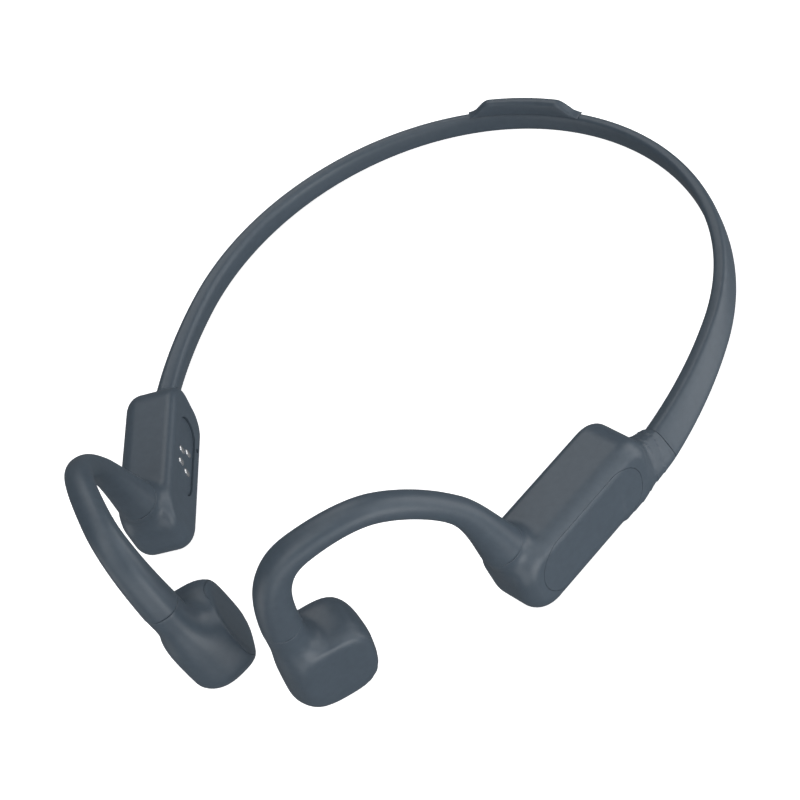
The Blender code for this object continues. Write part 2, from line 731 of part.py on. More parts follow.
def housing_body(name, side, parent, place, origin):
    """The cup that holds the electronics, with a neck at each end and an opening on its outer face."""
    half = HOUSING_THICKNESS / 2.0
    size = (HOUSING_LENGTH, HOUSING_THICKNESS, HOUSING_HEIGHT)
    form = block(size, (0.0, 0.0, 0.0), HOUSING_ROUNDING, 4)
    body = solid(f"{name}_housing", form, place, "shell_plastic")
    shape_with(body, guide(f"{name}_rear_neck_form", rear_neck(side, origin), parent), "UNION")
    shape_with(body, guide(f"{name}_front_neck_form", front_neck(side, origin), parent), "UNION")
    floor = side * (HOUSING_WALL - half)
    ledge = side * (half - COVER_THICKNESS - SEAL_THICKNESS - 2.0 * FIT_GAP)
    beyond = side * (half + CUT_MARGIN)
    cavity_length = COVER_LENGTH - 2.0 * COVER_LEDGE
    cavity_height = COVER_HEIGHT - 2.0 * COVER_LEDGE
    cavity = stadium_prism(cavity_length, cavity_height, floor, beyond)
    shape_with(body, guide(f"{name}_housing_cavity", cavity, place), "DIFFERENCE")
    rebate = stadium_prism(COVER_LENGTH, COVER_HEIGHT, ledge, beyond)
    shape_with(body, guide(f"{name}_cover_rebate", rebate, place), "DIFFERENCE")
    shape_with(body, guide(f"{name}_band_bore", band_bore(side, origin), parent), "DIFFERENCE")
    passage = hook_bore(FRONT_BORE_START, HOOK_SEAM_PLACE + BORE_OVERRUN_PLACES, side, origin)
    shape_with(body, guide(f"{name}_hook_bore", passage, parent), "DIFFERENCE")
    return body


def cover(name, side, place):
    """The flush oval plate over the housing's opening, and the seal under it."""
    half = HOUSING_THICKNESS / 2.0
    length = COVER_LENGTH - 2.0 * FIT_GAP
    height = COVER_HEIGHT - 2.0 * FIT_GAP
    back = half - COVER_THICKNESS
    plate = stadium_prism(length, height, side * back, side * half)
    solid(f"{name}_cover_plate", plate, place, "shell_plastic")
    seal_top = back - FIT_GAP
    seal_low = seal_top - SEAL_THICKNESS
    seal = stadium_ring(length, height, COVER_LEDGE - FIT_GAP, side * seal_low, side * seal_top)
    solid(f"{name}_cover_seal", seal, place, "seal_rubber")


def battery(side, place):
    """The cell, the foam behind it and the protection board on its end."""
    floor = HOUSING_WALL - HOUSING_THICKNESS / 2.0
    pad_top = floor + FIT_GAP + CELL_PAD_THICKNESS
    pad_length = CELL_LENGTH - 2.0 * CELL_PAD_MARGIN
    pad_size = (pad_length, CELL_PAD_THICKNESS, CELL_HEIGHT - 2.0 * CELL_PAD_MARGIN)
    pad_centre = (CELL_FORWARD, side * (pad_top - CELL_PAD_THICKNESS / 2.0), 0.0)
    solid("battery_foam", block(pad_size, pad_centre), place, "foam")
    cell_size = (CELL_LENGTH, CELL_THICKNESS, CELL_HEIGHT)
    cell_across = side * (pad_top + FIT_GAP + CELL_THICKNESS / 2.0)
    cell = block(cell_size, (CELL_FORWARD, cell_across, 0.0), CELL_ROUNDING)
    solid("battery_cell", cell, place, "cell_foil")
    board_size = (
        CELL_BOARD_LENGTH,
        CELL_THICKNESS - 2.0 * CELL_BOARD_THICKNESS_MARGIN,
        CELL_HEIGHT - 2.0 * CELL_BOARD_HEIGHT_MARGIN,
    )
    board_forward = CELL_FORWARD - CELL_LENGTH / 2.0 - FIT_GAP - CELL_BOARD_LENGTH / 2.0
    solid("battery_board", block(board_size, (board_forward, cell_across, 0.0)), place, "board_green")


def charging_port(body, side, place):
    """The recessed oval insert on the inner face and its four contact pins."""
    face = HOUSING_THICKNESS / 2.0
    near = -side * (face - HOUSING_WALL - CUT_MARGIN)
    opening = stadium_prism(INSERT_LENGTH, INSERT_HEIGHT, near, -side * (face + CUT_MARGIN), INSERT_CENTRE)
    shape_with(body, guide("charging_opening", opening, place), "DIFFERENCE")
    front = face - INSERT_RECESS
    back = front - INSERT_THICKNESS
    length = INSERT_LENGTH - 2.0 * FIT_GAP
    height = INSERT_HEIGHT - 2.0 * FIT_GAP
    plate = stadium_prism(length, height, -side * back, -side * front, INSERT_CENTRE)
    insert = solid("charging_insert", plate, place, "shell_plastic")
    tail = -side * (face - BOARD_DEPTH + FIT_GAP)
    tip = -side * (front + PIN_PROUD)
    hole_length = PIN_LENGTH + 2.0 * FIT_GAP
    hole_height = PIN_HEIGHT + 2.0 * FIT_GAP
    hole_near = -side * (back - CUT_MARGIN)
    hole_far = -side * (front + CUT_MARGIN)
    for index, (forward, rise) in enumerate(PIN_PLACES, start=1):
        at = (INSERT_CENTRE[0] + forward, INSERT_CENTRE[1] + rise)
        hole = stadium_prism(hole_length, hole_height, hole_near, hole_far, at)
        shape_with(insert, guide(f"pin_hole_{index}", hole, place), "DIFFERENCE")
        pin = stadium_prism(PIN_LENGTH, PIN_HEIGHT, tail, tip, at)
        solid(f"charging_pin_{index}", pin, place, "contact_metal")


def electronics(body, side, place):
    """Main board with its shield, microphone and its hole."""
    board_side = HOUSING_THICKNESS / 2.0 - BOARD_DEPTH
    board_size = (BOARD_LENGTH, BOARD_THICKNESS, BOARD_HEIGHT)
    board_across = -side * (board_side - BOARD_THICKNESS / 2.0)
    board = block(board_size, (BOARD_CENTRE[0], board_across, BOARD_CENTRE[1]))
    solid("main_board", board, place, "board_green")
    shield_size = (SHIELD_LENGTH, SHIELD_THICKNESS, SHIELD_HEIGHT)
    shield_across = -side * (board_side - BOARD_THICKNESS - FIT_GAP - SHIELD_THICKNESS / 2.0)
    shield_centre = (SHIELD_FORWARD, shield_across, BOARD_CENTRE[1])
    solid("radio_shield", block(shield_size, shield_centre, SHIELD_ROUNDING, 1), place, "plated_steel")
    wall_inside = HOUSING_THICKNESS / 2.0 - HOUSING_WALL
    rise = INSERT_CENTRE[1] - INSERT_HEIGHT / 2.0 - MICROPHONE_DROP
    near = -side * (wall_inside - CUT_MARGIN)
    far = -side * (wall_inside + HOUSING_WALL + CUT_MARGIN)
    hole = stadium_prism(MICROPHONE_HOLE, MICROPHONE_HOLE, near, far, (MICROPHONE_FORWARD, rise))
    shape_with(body, guide("microphone_hole", hole, place), "DIFFERENCE")
    across = -side * (wall_inside - FIT_GAP - MICROPHONE_SIZE[1] / 2.0)
    centre = (MICROPHONE_FORWARD, across, rise + MICROPHONE_LIFT)
    solid("microphone", block(MICROPHONE_SIZE, centre), place, "plated_steel")


def keys(body, side, place):
    """Three keys in the lower edge, their switches and the board that carries them."""
    bottom = -HOUSING_HEIGHT / 2.0
    cavity_floor = -(COVER_HEIGHT / 2.0 - COVER_LEDGE)
    low = bottom + KEY_RECESS
    flange_low = cavity_floor + FIT_GAP
    flange_top = flange_low + KEY_FLANGE
    switch_low = flange_top + KEY_TRAVEL + FIT_GAP
    board_low = switch_low + SWITCH_HEIGHT + FIT_GAP
    across = side * KEY_ACROSS
    slot_height = cavity_floor - bottom + 2.0 * CUT_MARGIN
    slot_size = (KEY_LENGTH + 2.0 * FIT_GAP, KEY_WIDTH + 2.0 * FIT_GAP, slot_height)
    stem_size = (KEY_LENGTH, KEY_WIDTH, flange_top - low)
    flange_size = (KEY_LENGTH + 2.0 * KEY_FLANGE_MARGIN, KEY_WIDTH + 2.0 * KEY_FLANGE_MARGIN, KEY_FLANGE)
    flange_rise = flange_low - low + KEY_FLANGE / 2.0
    switch_size = (SWITCH_LENGTH, SWITCH_WIDTH, SWITCH_HEIGHT)
    for name, forward in KEY_PLACES.items():
        slot = block(slot_size, (forward, across, (cavity_floor + bottom) / 2.0))
        shape_with(body, guide(f"{name}_key_slot", slot, place), "DIFFERENCE")
        key_empty = frame_at(f"{name}_key_axis", Matrix.Translation((forward, across, low)), place)
        stem_form = block(stem_size, (0.0, 0.0, stem_size[2] / 2.0), KEY_ROUNDING, 1)
        stem = solid(f"{name}_key", stem_form, key_empty, "shell_plastic")
        flange = guide(f"{name}_key_flange", block(flange_size, (0.0, 0.0, flange_rise)), key_empty)
        shape_with(stem, flange, "UNION")
        switch = block(switch_size, (forward, across, switch_low + SWITCH_HEIGHT / 2.0), SWITCH_ROUNDING, 1)
        solid(f"{name}_switch", switch, place, "plated_steel")
    board_size = (KEY_BOARD_LENGTH, KEY_BOARD_WIDTH, KEY_BOARD_THICKNESS)
    board_centre = (0.0, across, board_low + KEY_BOARD_THICKNESS / 2.0)
    solid("key_board", block(board_size, board_centre), place, "board_green")


# ---------------------------------------------------------------- pods


def pod_form():
    """A rounded upright form: a crowned superellipse cut off flat inside and outside."""
    half = POD_THICKNESS / 2.0
    rings = []
    for level in range(POD_LEVELS):
        polar = math.pi * (level + 0.5) / POD_LEVELS - math.pi / 2.0
        rise = math.copysign(abs(math.sin(polar)) ** (2.0 / POD_SQUARENESS), math.sin(polar))
        scale = math.cos(polar) ** (2.0 / POD_SQUARENESS)
        outline = oval(
            Vector((0.0, 0.0, rise * POD_HEIGHT / 2.0)),
            Vector((1.0, 0.0, 0.0)),
            Vector((0.0, 1.0, 0.0)),
            scale * POD_LENGTH / 2.0,
            scale * POD_THICKNESS * POD_CROWN / 2.0,
            POD_SQUARENESS,
            sides=POD_SIDES,
        )
        rings.append([Vector((p.x, max(-half, min(half, p.y)), p.z)) for p in outline])
    return loft(rings)


def pod_neck(side, origin):
    """The stub between the pod's top and the hook's lower seam."""
    rings = []
    for place in steps(POD_SEAM_PLACE + SEAM_GAP_SHARE, POD_NECK_END, 4):
        centre, sideways, upward, _ = hook_frame(place, side)
        radius = HOOK_TIP_RADIUS
        rings.append(oval(centre - origin, sideways, upward, radius, radius, HOOK_SQUARENESS))
    return loft(rings)


def pod(name, side, parent, origin):
    """Pod shell, contact pad, gasket and transducer."""
    centre, forward, _, upward = left_pod()
    place = frame_at(f"{name}_pod_frame", place_on(side, origin, centre, forward, upward), parent)
    half = POD_THICKNESS / 2.0
    shell = solid(f"{name}_pod_shell", pod_form(), place, "shell_plastic")
    shape_with(shell, guide(f"{name}_pod_neck_form", pod_neck(side, origin), parent), "UNION")
    rebate_floor = -half + PAD_THICKNESS + GASKET_THICKNESS + 2.0 * FIT_GAP
    outside = -half - CUT_MARGIN
    rebate = stadium_prism(PAD_LENGTH, PAD_HEIGHT, side * rebate_floor, side * outside)
    shape_with(shell, guide(f"{name}_pad_rebate", rebate, place), "DIFFERENCE")
    pocket_length = PAD_LENGTH - 2.0 * PAD_LEDGE
    pocket_height = PAD_HEIGHT - 2.0 * PAD_LEDGE
    pocket = stadium_prism(pocket_length, pocket_height, side * (half - POD_WALL), side * outside)
    shape_with(shell, guide(f"{name}_pod_pocket", pocket, place), "DIFFERENCE")
    bore = hook_bore(POD_SEAM_PLACE - BORE_OVERRUN_PLACES, POD_NECK_END, side, origin)
    shape_with(shell, guide(f"{name}_pod_bore", bore, parent), "DIFFERENCE")

    pad_back = -half + PAD_THICKNESS
    length = PAD_LENGTH - 2.0 * FIT_GAP
    height = PAD_HEIGHT - 2.0 * FIT_GAP
    plate = stadium_prism(length, height, side * -half, side * pad_back)
    pad = solid(f"{name}_contact_pad", plate, place, "soft_sleeve")
    low = side * (pad_back + FIT_GAP)
    high = side * (pad_back + FIT_GAP + GASKET_THICKNESS)
    gasket = stadium_ring(length, height, PAD_LEDGE - FIT_GAP, low, high)
    solid(f"{name}_pod_gasket", gasket, place, "seal_rubber")
    transducer(name, side, place, pad, pad_back)


def transducer(name, side, place, pad, pad_back):
    """Yoke, magnet, pole piece, coil and suspension spring, stacked from the outer wall to the pad."""
    top = POD_THICKNESS / 2.0 - POD_WALL - FIT_GAP
    mouth = top - YOKE_HEIGHT
    inner = YOKE_RADIUS - YOKE_WALL
    floor = top - YOKE_WALL

    def piece(label, profile, look):
        flipped = [(radius, side * along) for radius, along in profile]
        return solid(f"{name}_transducer_{label}", turned(flipped), place, look)

    cup = disc_profile(YOKE_RADIUS, mouth, top)
    cup[:1] = [(0.0, floor), (inner, floor), (inner, mouth)]
    piece("yoke", cup, "plated_steel")
    magnet_top = floor - FIT_GAP
    magnet_low = magnet_top - MAGNET_HEIGHT
    piece("magnet", disc_profile(MAGNET_RADIUS, magnet_low, magnet_top), "magnet_nickel")
    pole_top = magnet_low - FIT_GAP
    piece("pole", disc_profile(MAGNET_RADIUS, pole_top - POLE_HEIGHT, pole_top), "plated_steel")
    spring_top = mouth - FIT_GAP
    coil_wall = COIL_SHARE * (inner - MAGNET_RADIUS)
    coil_middle = (inner + MAGNET_RADIUS) / 2.0
    coil_low = spring_top + FIT_GAP
    coil = ring_profile(
        coil_middle - coil_wall / 2.0, coil_middle + coil_wall / 2.0, coil_low, coil_low + COIL_HEIGHT
    )
    piece("coil", coil, "copper_winding")
    spring_low = spring_top - SPRING_THICKNESS
    spring = ring_profile(POST_RADIUS + FIT_GAP, YOKE_RADIUS - FIT_GAP, spring_low, spring_top)
    piece("spring", spring, "spring_wire")
    post = disc_profile(POST_RADIUS, side * (pad_back - POST_OVERLAP), side * (spring_top + FIT_GAP))
    shape_with(pad, guide(f"{name}_pad_post_form", turned(post), place), "UNION")


# ---------------------------------------------------------------- assembly


def arm(name, side, parent):
    """Everything that moves outward together when the headset is put on."""
    origin = flex_point(side)
    swing = frame_at(f"{name}_arm_axis", Matrix.Translation(origin), parent)
    arm_band(name, side, swing, origin)
    ear_hook(name, side, swing, origin)
    centre, forward, _ = left_housing()
    place = frame_at(f"{name}_housing_frame", place_on(side, origin, centre, forward, UP), swing)
    body = housing_body(name, side, swing, place, origin)
    cover(name, side, place)
    if name == "left":
        battery(side, place)
    else:
        charging_port(body, side, place)
        electronics(body, side, place)
        keys(body, side, place)
    pod(name, side, swing, origin)


def centre_on_box(top):
    """Slide the headset along Y so that the origin lies under the middle of its box."""
    bpy.context.view_layer.update()
    depsgraph = bpy.context.evaluated_depsgraph_get()
    reaches = []
    for piece in bpy.data.objects:
        if piece.type == "MESH" and not piece.hide_render:
            evaluated = piece.evaluated_get(depsgraph)
            reaches += [(piece.matrix_world @ vertex.co).y for vertex in evaluated.data.vertices]
    top.location.y = -(min(reaches) + max(reaches)) / 2.0


def main():
    for old in list(bpy.data.objects):
        bpy.data.objects.remove(old, do_unlink=True)
    top = frame_at("headset", Matrix.Identity(4))
    nape_length(top)
    nape_fin(top)
    for name, side in SIDES.items():
        arm(name, side, top)
    centre_on_box(top)


main()
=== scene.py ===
"""Bone conduction headphones: outer skins, plates, keys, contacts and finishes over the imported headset.

Lengths are in metres. A side's own frame has x forward, y outward and z up it; the left side is worked out
and the right one mirrors it.
"""

import json
import math

import bpy
import numpy as np
from mathutils import Matrix, Vector


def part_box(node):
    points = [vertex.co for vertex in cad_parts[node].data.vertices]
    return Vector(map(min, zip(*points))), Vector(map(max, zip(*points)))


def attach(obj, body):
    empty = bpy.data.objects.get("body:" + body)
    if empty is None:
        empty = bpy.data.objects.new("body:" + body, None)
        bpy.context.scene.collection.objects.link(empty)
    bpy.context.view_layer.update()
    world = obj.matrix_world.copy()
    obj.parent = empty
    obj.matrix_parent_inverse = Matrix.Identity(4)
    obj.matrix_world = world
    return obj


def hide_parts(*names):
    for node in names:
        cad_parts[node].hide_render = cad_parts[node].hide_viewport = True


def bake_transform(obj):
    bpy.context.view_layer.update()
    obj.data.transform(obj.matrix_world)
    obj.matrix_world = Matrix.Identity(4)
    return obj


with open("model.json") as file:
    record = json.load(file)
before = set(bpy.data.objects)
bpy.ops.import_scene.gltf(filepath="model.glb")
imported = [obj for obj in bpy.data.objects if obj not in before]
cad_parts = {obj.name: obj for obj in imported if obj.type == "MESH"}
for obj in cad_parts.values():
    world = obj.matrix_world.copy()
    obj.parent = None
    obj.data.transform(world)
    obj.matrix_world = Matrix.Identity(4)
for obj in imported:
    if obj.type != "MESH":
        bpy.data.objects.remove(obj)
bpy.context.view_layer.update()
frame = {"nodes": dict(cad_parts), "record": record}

MM = 0.001
UP = np.array((0.0, 0.0, 1.0))

# ---------------------------------------------------------------- sizes

# Neckband
BAND_HALF_WIDTH = 48.3 * MM
BAND_REAR_REACH = 49.2 * MM
BAND_FRONT_REACH = 67.4 * MM
BAND_SEAM_TURN = math.radians(110.0)
BAND_CORE_TURN = math.radians(119.5)
BAND_REAR_SIZE = np.array((1.9, 4.1)) * MM  # thickness and height at the nape
BAND_SEAM_SIZE = np.array((3.7, 6.4)) * MM
BAND_SQUARENESS = 3.4
BAND_LEAN = math.radians(24.0)  # the top leans in over the neck towards the housings
FLEX_TURN = math.radians(35.0)
FLEX_SPREAD = math.radians(15.0)  # a turn on each side of the flex axis, whose ends band_half works out
PASSAGE_HALF = np.array((0.53, 0.945)) * MM
WIRE_RADIUS = 0.4 * MM
WIRE_RISE = -0.415 * MM
CABLE_RADIUS = 0.35 * MM
CABLE_RISE = 0.465 * MM

# Fin at the nape
FIN_FOOT_WIDTH = 22.3 * MM
FIN_TOP_WIDTH = 13.2 * MM
FIN_HEIGHT = 2.8 * MM
FIN_THICKNESS = 1.9 * MM
FIN_CHAMFER = 0.45 * MM
FIN_STEP = 0.08 * MM  # its height at each foot
FIN_SOFTENING = 0.12 * MM

# Housings
HOUSING_TURN_IN = math.radians(8.08)
HOUSING_LENGTH = 29.3 * MM
HOUSING_HEIGHT = 13.3 * MM
HOUSING_THICKNESS = 9.7 * MM
HOUSING_CORNER = 5.0 * MM
HOUSING_OUTER_ROUNDING = 2.7 * MM
HOUSING_INNER_ROUNDING = np.array((3.0, 1.5)) * MM  # along the bottom edge and along the top one
REAR_NECK_SIZE = np.array((7.2, 9.6)) * MM
COVER_SIZE = np.array((22.6, 10.0)) * MM
COVER_THICKNESS = 0.9 * MM
CAVITY_SIZE = np.array((21.1, 8.5)) * MM
CAVITY_FLOOR = -3.65 * MM
REBATE_FLOOR = 3.35 * MM
FRONT_NECK_BLEND = 1.8 * MM
REAR_NECK_BLEND = 1.4 * MM
REAR_BEND_END = np.array((-8.0, 0.0, 0.0)) * MM  # the rings have turned into the housing's line here
FAN_PIVOT = np.array((6.4, 0.0, 9.3)) * MM  # the middle of the hollow behind the hook's neck

# Hooks
HOOK_ROOT_POINTS = np.array(
    ((-6.68, -0.36, -4.7), (-2.95, -0.20, -0.9), (1.53, -0.28, 14.4), (11.35, -2.80, 25.1))
) * MM
HOOK_TIP_POINTS = np.array(
    ((0.33, 0.80, 19.5), (4.85, 0.35, 14.4), (5.44, 0.40, 4.9), (3.21, 0.70, -5.2))
) * MM
HOOK_ROOT_SPAN = 14.0 * MM  # length of a span of the hook at its root
HOOK_TIP_SPAN = 10.4 * MM
HOOK_SEAM_PLACE = 1.2
HOOK_SLIM_PLACE = 2.2
POD_SEAM_PLACE = 6.0
HOOK_SQUARENESS = 2.2
HOOK_ROOT_RADIUS = 3.4 * MM
HOOK_SLIM_RADIUS = 1.95 * MM
HOOK_TIP_RADIUS = 2.9 * MM
FRONT_NECK_RADIUS = 3.5 * MM
NECK_BORE_RADIUS = 1.1 * MM

# Pods
POD_TOE_IN = math.radians(38.0)
POD_PITCH = math.radians(9.4)
POD_LEAN = math.radians(7.0)
POD_SIZE = np.array((13.1, 10.0, 15.9)) * MM
POD_SQUARENESS = 3.0
POD_OUTER_CROWN = 1.12
POD_INNER_CROWN = 1.3
POD_FACET = 4.25 * MM
POD_EDGE = 0.5 * MM
POD_TOP_SHARE = 0.94  # the top is a little lower than the foot is deep
POD_SHEAR = 0.07  # the foot lies back by this much of its depth
POD_ROD_FOOT = np.array((3.75, 0.5, -3.0)) * MM
POD_NECK_BLEND = 2.4 * MM
POD_HEART = np.array((3.4, 0.4, 1.5)) * MM  # the skin is worked out on rays from here
PAD_SIZE = np.array((11.0, 13.6)) * MM
PAD_THICKNESS = 1.0 * MM
POCKET_SIZE = np.array((9.6, 12.2)) * MM
POCKET_FLOOR = 3.9 * MM
REBATE_SPARE = 0.55 * MM
MAGNET_ACROSS = 2.05 * MM

# Charging port and keys
INSERT_CENTRE = np.array((-1.3, 0.6)) * MM
INSERT_SIZE = np.array((15.6, 6.2)) * MM
INSERT_THICKNESS = 0.8 * MM
INSERT_RECESS = 0.3 * MM
INSERT_ROUNDING = 0.12 * MM
PIN_PLACES = np.array(((-0.5, 1.24), (2.0, 1.24), (-1.5, -1.178), (2.6, -1.178))) * MM
PIN_SIZE = np.array((1.0, 1.9)) * MM
PIN_REACH = np.array((2.4, 4.65)) * MM
PIN_CROWN = 0.05 * MM
PIN_ROUNDING = 0.22 * MM
PIN_HOLE_DEPTH = 3.0 * MM
MICROPHONE_PLACE = np.array((-5.6, -3.5)) * MM
MICROPHONE_HOLE = 0.9 * MM
KEY_SIZE = np.array((3.6, 2.0)) * MM
KEY_SPACING = 4.6 * MM
KEY_ACROSS = 0.9 * MM
KEY_RECESS = 0.1 * MM
KEY_BOTTOM = -HOUSING_HEIGHT / 2.0 + KEY_RECESS
KEY_ROUNDING = 0.3 * MM
KEY_FLANGE_WIDTH = 0.4 * MM
KEY_FLANGE_LOW = -4.15 * MM
KEY_FLANGE_TOP = -3.7 * MM
KEYS = (("volume_up", -KEY_SPACING), ("power", 0.0), ("volume_down", KEY_SPACING))

STRETCH_OVERLAP = 0.4 * MM
SEAM_GAP = 0.08 * MM
FIT_GAP = 0.06 * MM
SEAM_ROUNDING = 0.14 * MM
CUT_OVERRUN = 2.0 * MM

# ---------------------------------------------------------------- frames


def unit(vectors):
    """Each vector divided by its length."""
    vectors = np.asarray(vectors, float)
    return vectors / np.linalg.norm(vectors, axis=-1, keepdims=True)


def middle_of(node):
    """The middle of a CAD node's box."""
    low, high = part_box(node)
    return np.array((low + high) / 2.0)


joints = {joint["name"]: joint for joint in frame["record"]["behaviour"]["joints"]}
left_flex = np.array(joints["left_arm_flex"]["pos_m"])
BAND_SHIFT = left_flex[1] - BAND_REAR_REACH * math.cos(FLEX_TURN)


def band_at(turns):
    """Centre at half height, outward, upward and forward directions, and section of the left band.

    The centre line is half an ellipse behind the ears and a longer one in front of them; thickness,
    height and lean grow with the square of the turn from the nape.
    """
    turns = np.asarray(turns, float)
    reach = np.where(np.abs(turns) <= math.pi / 2.0, BAND_REAR_REACH, BAND_FRONT_REACH)
    share = np.minimum(1.0, (turns / BAND_SEAM_TURN) ** 2)[:, None]
    lean = BAND_LEAN * share
    size = BAND_REAR_SIZE + (BAND_SEAM_SIZE - BAND_REAR_SIZE) * share
    x = BAND_HALF_WIDTH * np.sin(turns)
    y = reach * np.cos(turns) + BAND_SHIFT
    centre = np.stack((x, y, size[:, 1] / 2.0), axis=-1)
    outward = (reach * np.sin(turns), BAND_HALF_WIDTH * np.cos(turns), 0.0 * turns)
    outward = unit(np.stack(outward, axis=-1))
    forward = np.cross(outward, UP)
    upward = UP * np.cos(lean) - outward * np.sin(lean)
    return centre, outward * np.cos(lean) + UP * np.sin(lean), upward, forward, size


class Place:
    """A frame: its middle and its forward, outward and upward directions."""

    def __init__(self, middle, forward, outward, upward):
        self.middle = middle
        self.axes = np.array((forward, outward, upward))

    def out(self, points):
        """Points of this frame in the world."""
        return points @ self.axes + self.middle

    def into(self, points):
        """World points in this frame."""
        return (points - self.middle) @ self.axes.T


def housing_place():
    """The left housing: it turns in from the band's end, and its cover plate gives its middle."""
    _, _, _, forward, _ = band_at([BAND_SEAM_TURN])
    forward = np.array(Matrix.Rotation(-HOUSING_TURN_IN, 3, "Z")) @ forward[0]
    outward = np.cross(UP, forward)
    plate = middle_of("left_cover_plate")
    return Place(plate - outward * (HOUSING_THICKNESS - COVER_THICKNESS) / 2.0, forward, outward, UP)


def pod_place():
    """The left pod: toed in, pitched and leaned; its magnet lies MAGNET_ACROSS outward of its middle."""
    level = np.array((math.cos(POD_TOE_IN), -math.sin(POD_TOE_IN), 0.0))
    forward = np.cross(level, UP) * math.cos(POD_PITCH) + UP * math.sin(POD_PITCH)
    upward = np.cross(forward, level) * math.cos(POD_LEAN) + level * math.sin(POD_LEAN)
    outward = np.cross(upward, forward)
    return Place(middle_of("left_transducer_magnet") - outward * MAGNET_ACROSS, forward, outward, upward)


HOUSING = housing_place()
POD = pod_place()
ROOT_CORNER = np.array((HOUSING_LENGTH, 0.0, HOUSING_HEIGHT)) / 2.0
POD_TOP = np.array((0.0, 0.0, POD_SIZE[2] / 2.0))
HOOK_POINTS = np.concatenate(
    (HOUSING.out(HOOK_ROOT_POINTS + ROOT_CORNER), POD.out(HOOK_TIP_POINTS + POD_TOP))
)


def hook_at(places):
    """Centre, sideways, upward and forward directions and radius of the left hook.

    The centre line is the Catmull-Rom curve through the hook's points, PLACES spans along it. The radius
    falls on a quarter sine from the root to the slim part, then grows again towards the pod.
    """
    places = np.asarray(places, float)
    ends = np.stack((2.0 * HOOK_POINTS[0] - HOOK_POINTS[1], 2.0 * HOOK_POINTS[-1] - HOOK_POINTS[-2]))
    points = np.concatenate((ends[:1], HOOK_POINTS, ends[1:]))
    span = np.clip(places.astype(int), 0, len(HOOK_POINTS) - 2)
    t = (places - span)[:, None]
    before, start, end, after = (points[span + step] for step in range(4))
    across = end - before
    bend = 2.0 * before - 5.0 * start + 4.0 * end - after
    twist = 3.0 * start - before - 3.0 * end + after
    centre = start + 0.5 * (across * t + bend * t**2 + twist * t**3)
    along = unit(across + 2.0 * bend * t + 3.0 * twist * t**2)
    heading = unit((HOOK_POINTS[-2] - HOOK_POINTS[1])[:2])
    level = np.array((heading[1], -heading[0], 0.0))
    upward = unit(np.cross(along, level))
    sideways = np.cross(upward, along)
    slim = np.clip((places - HOOK_SEAM_PLACE) / (HOOK_SLIM_PLACE - HOOK_SEAM_PLACE), 0.0, 1.0)
    slim = np.sin(slim * math.pi / 2.0)
    tip = np.maximum(0.0, (places - HOOK_SLIM_PLACE) / (POD_SEAM_PLACE - HOOK_SLIM_PLACE)) ** 1.5
    radius = HOOK_ROOT_RADIUS + (HOOK_SLIM_RADIUS - HOOK_ROOT_RADIUS) * slim
    radius += (HOOK_TIP_RADIUS - HOOK_SLIM_RADIUS) * tip
    return centre, sideways, upward, along, radius


# ---------------------------------------------------------------- surfaces


def unit_oval(count, squareness=2.0):
    """A superellipse of half size 1: the powers 2 / SQUARENESS of the cosine and the sine."""
    angle = 2.0 * math.pi * np.arange(count) / count
    cosine, sine = np.cos(angle), np.sin(angle)
    power = 2.0 / squareness
    return np.sign(cosine) * np.abs(cosine) ** power, np.sign(sine) * np.abs(sine) ** power


def swept(centre, across, upward, half_across, half_up, outline):
    """A profile carried along a path: centre + across * half width * u + upward * half height * v."""
    u, v = outline
    half_across = np.broadcast_to(half_across, len(centre))[:, None, None]
    half_up = np.broadcast_to(half_up, len(centre))[:, None, None]
    reach = across[:, None] * half_across * u[None, :, None]
    return centre[:, None] + reach + upward[:, None] * half_up * v[None, :, None]


def rounded_end(ring, middle, beyond, radius, steps=5):
    """Rings past RING that turn in on a quarter circle: cosine inward and sine along BEYOND."""
    turn = np.linspace(0.0, math.pi / 2.0, steps)[1:, None, None]
    arm = ring - middle
    reach = np.linalg.norm(arm, axis=-1)[None, :, None]
    return middle + arm * (1.0 - radius * (1.0 - np.cos(turn)) / reach) + beyond * radius * np.sin(turn)


def with_rounded_ends(rows, middles, first_beyond, last_beyond, radius):
    """ROWS with a rounded end before the first ring and after the last one."""
    start = rounded_end(rows[0], middles[0], first_beyond, radius)[::-1]
    end = rounded_end(rows[-1], middles[-1], last_beyond, radius)
    return np.concatenate((start, rows, end))


def strips(count, columns, wrapped):
    """Quads between neighbouring rings, wrapped round to the first ring if WRAPPED."""
    row = np.arange(count if wrapped else count - 1)[:, None]
    column = np.arange(columns)[None, :]
    following = (column + 1) % columns
    next_row = (row + 1) % count
    corners = (row * columns + column, row * columns + following, next_row * columns + following)
    return np.stack((*corners, next_row * columns + column), axis=-1).reshape(-1, 4)


def fan(start, columns, pole):
    """Triangles from a ring to a pole."""
    column = np.arange(columns)
    return np.stack((start + (column + 1) % columns, start + column, np.full(columns, pole)), axis=-1)


def enclosed(points, faces):
    """Six times the volume inside FACES, which is negative if they face inward."""
    corner = points[faces[:, 0]]
    total = 0.0
    for index in range(1, faces.shape[1] - 1):
        normal = np.cross(points[faces[:, index]] - corner, points[faces[:, index + 1]] - corner)
        total += np.einsum("ij,ij->", corner, normal)
    return total


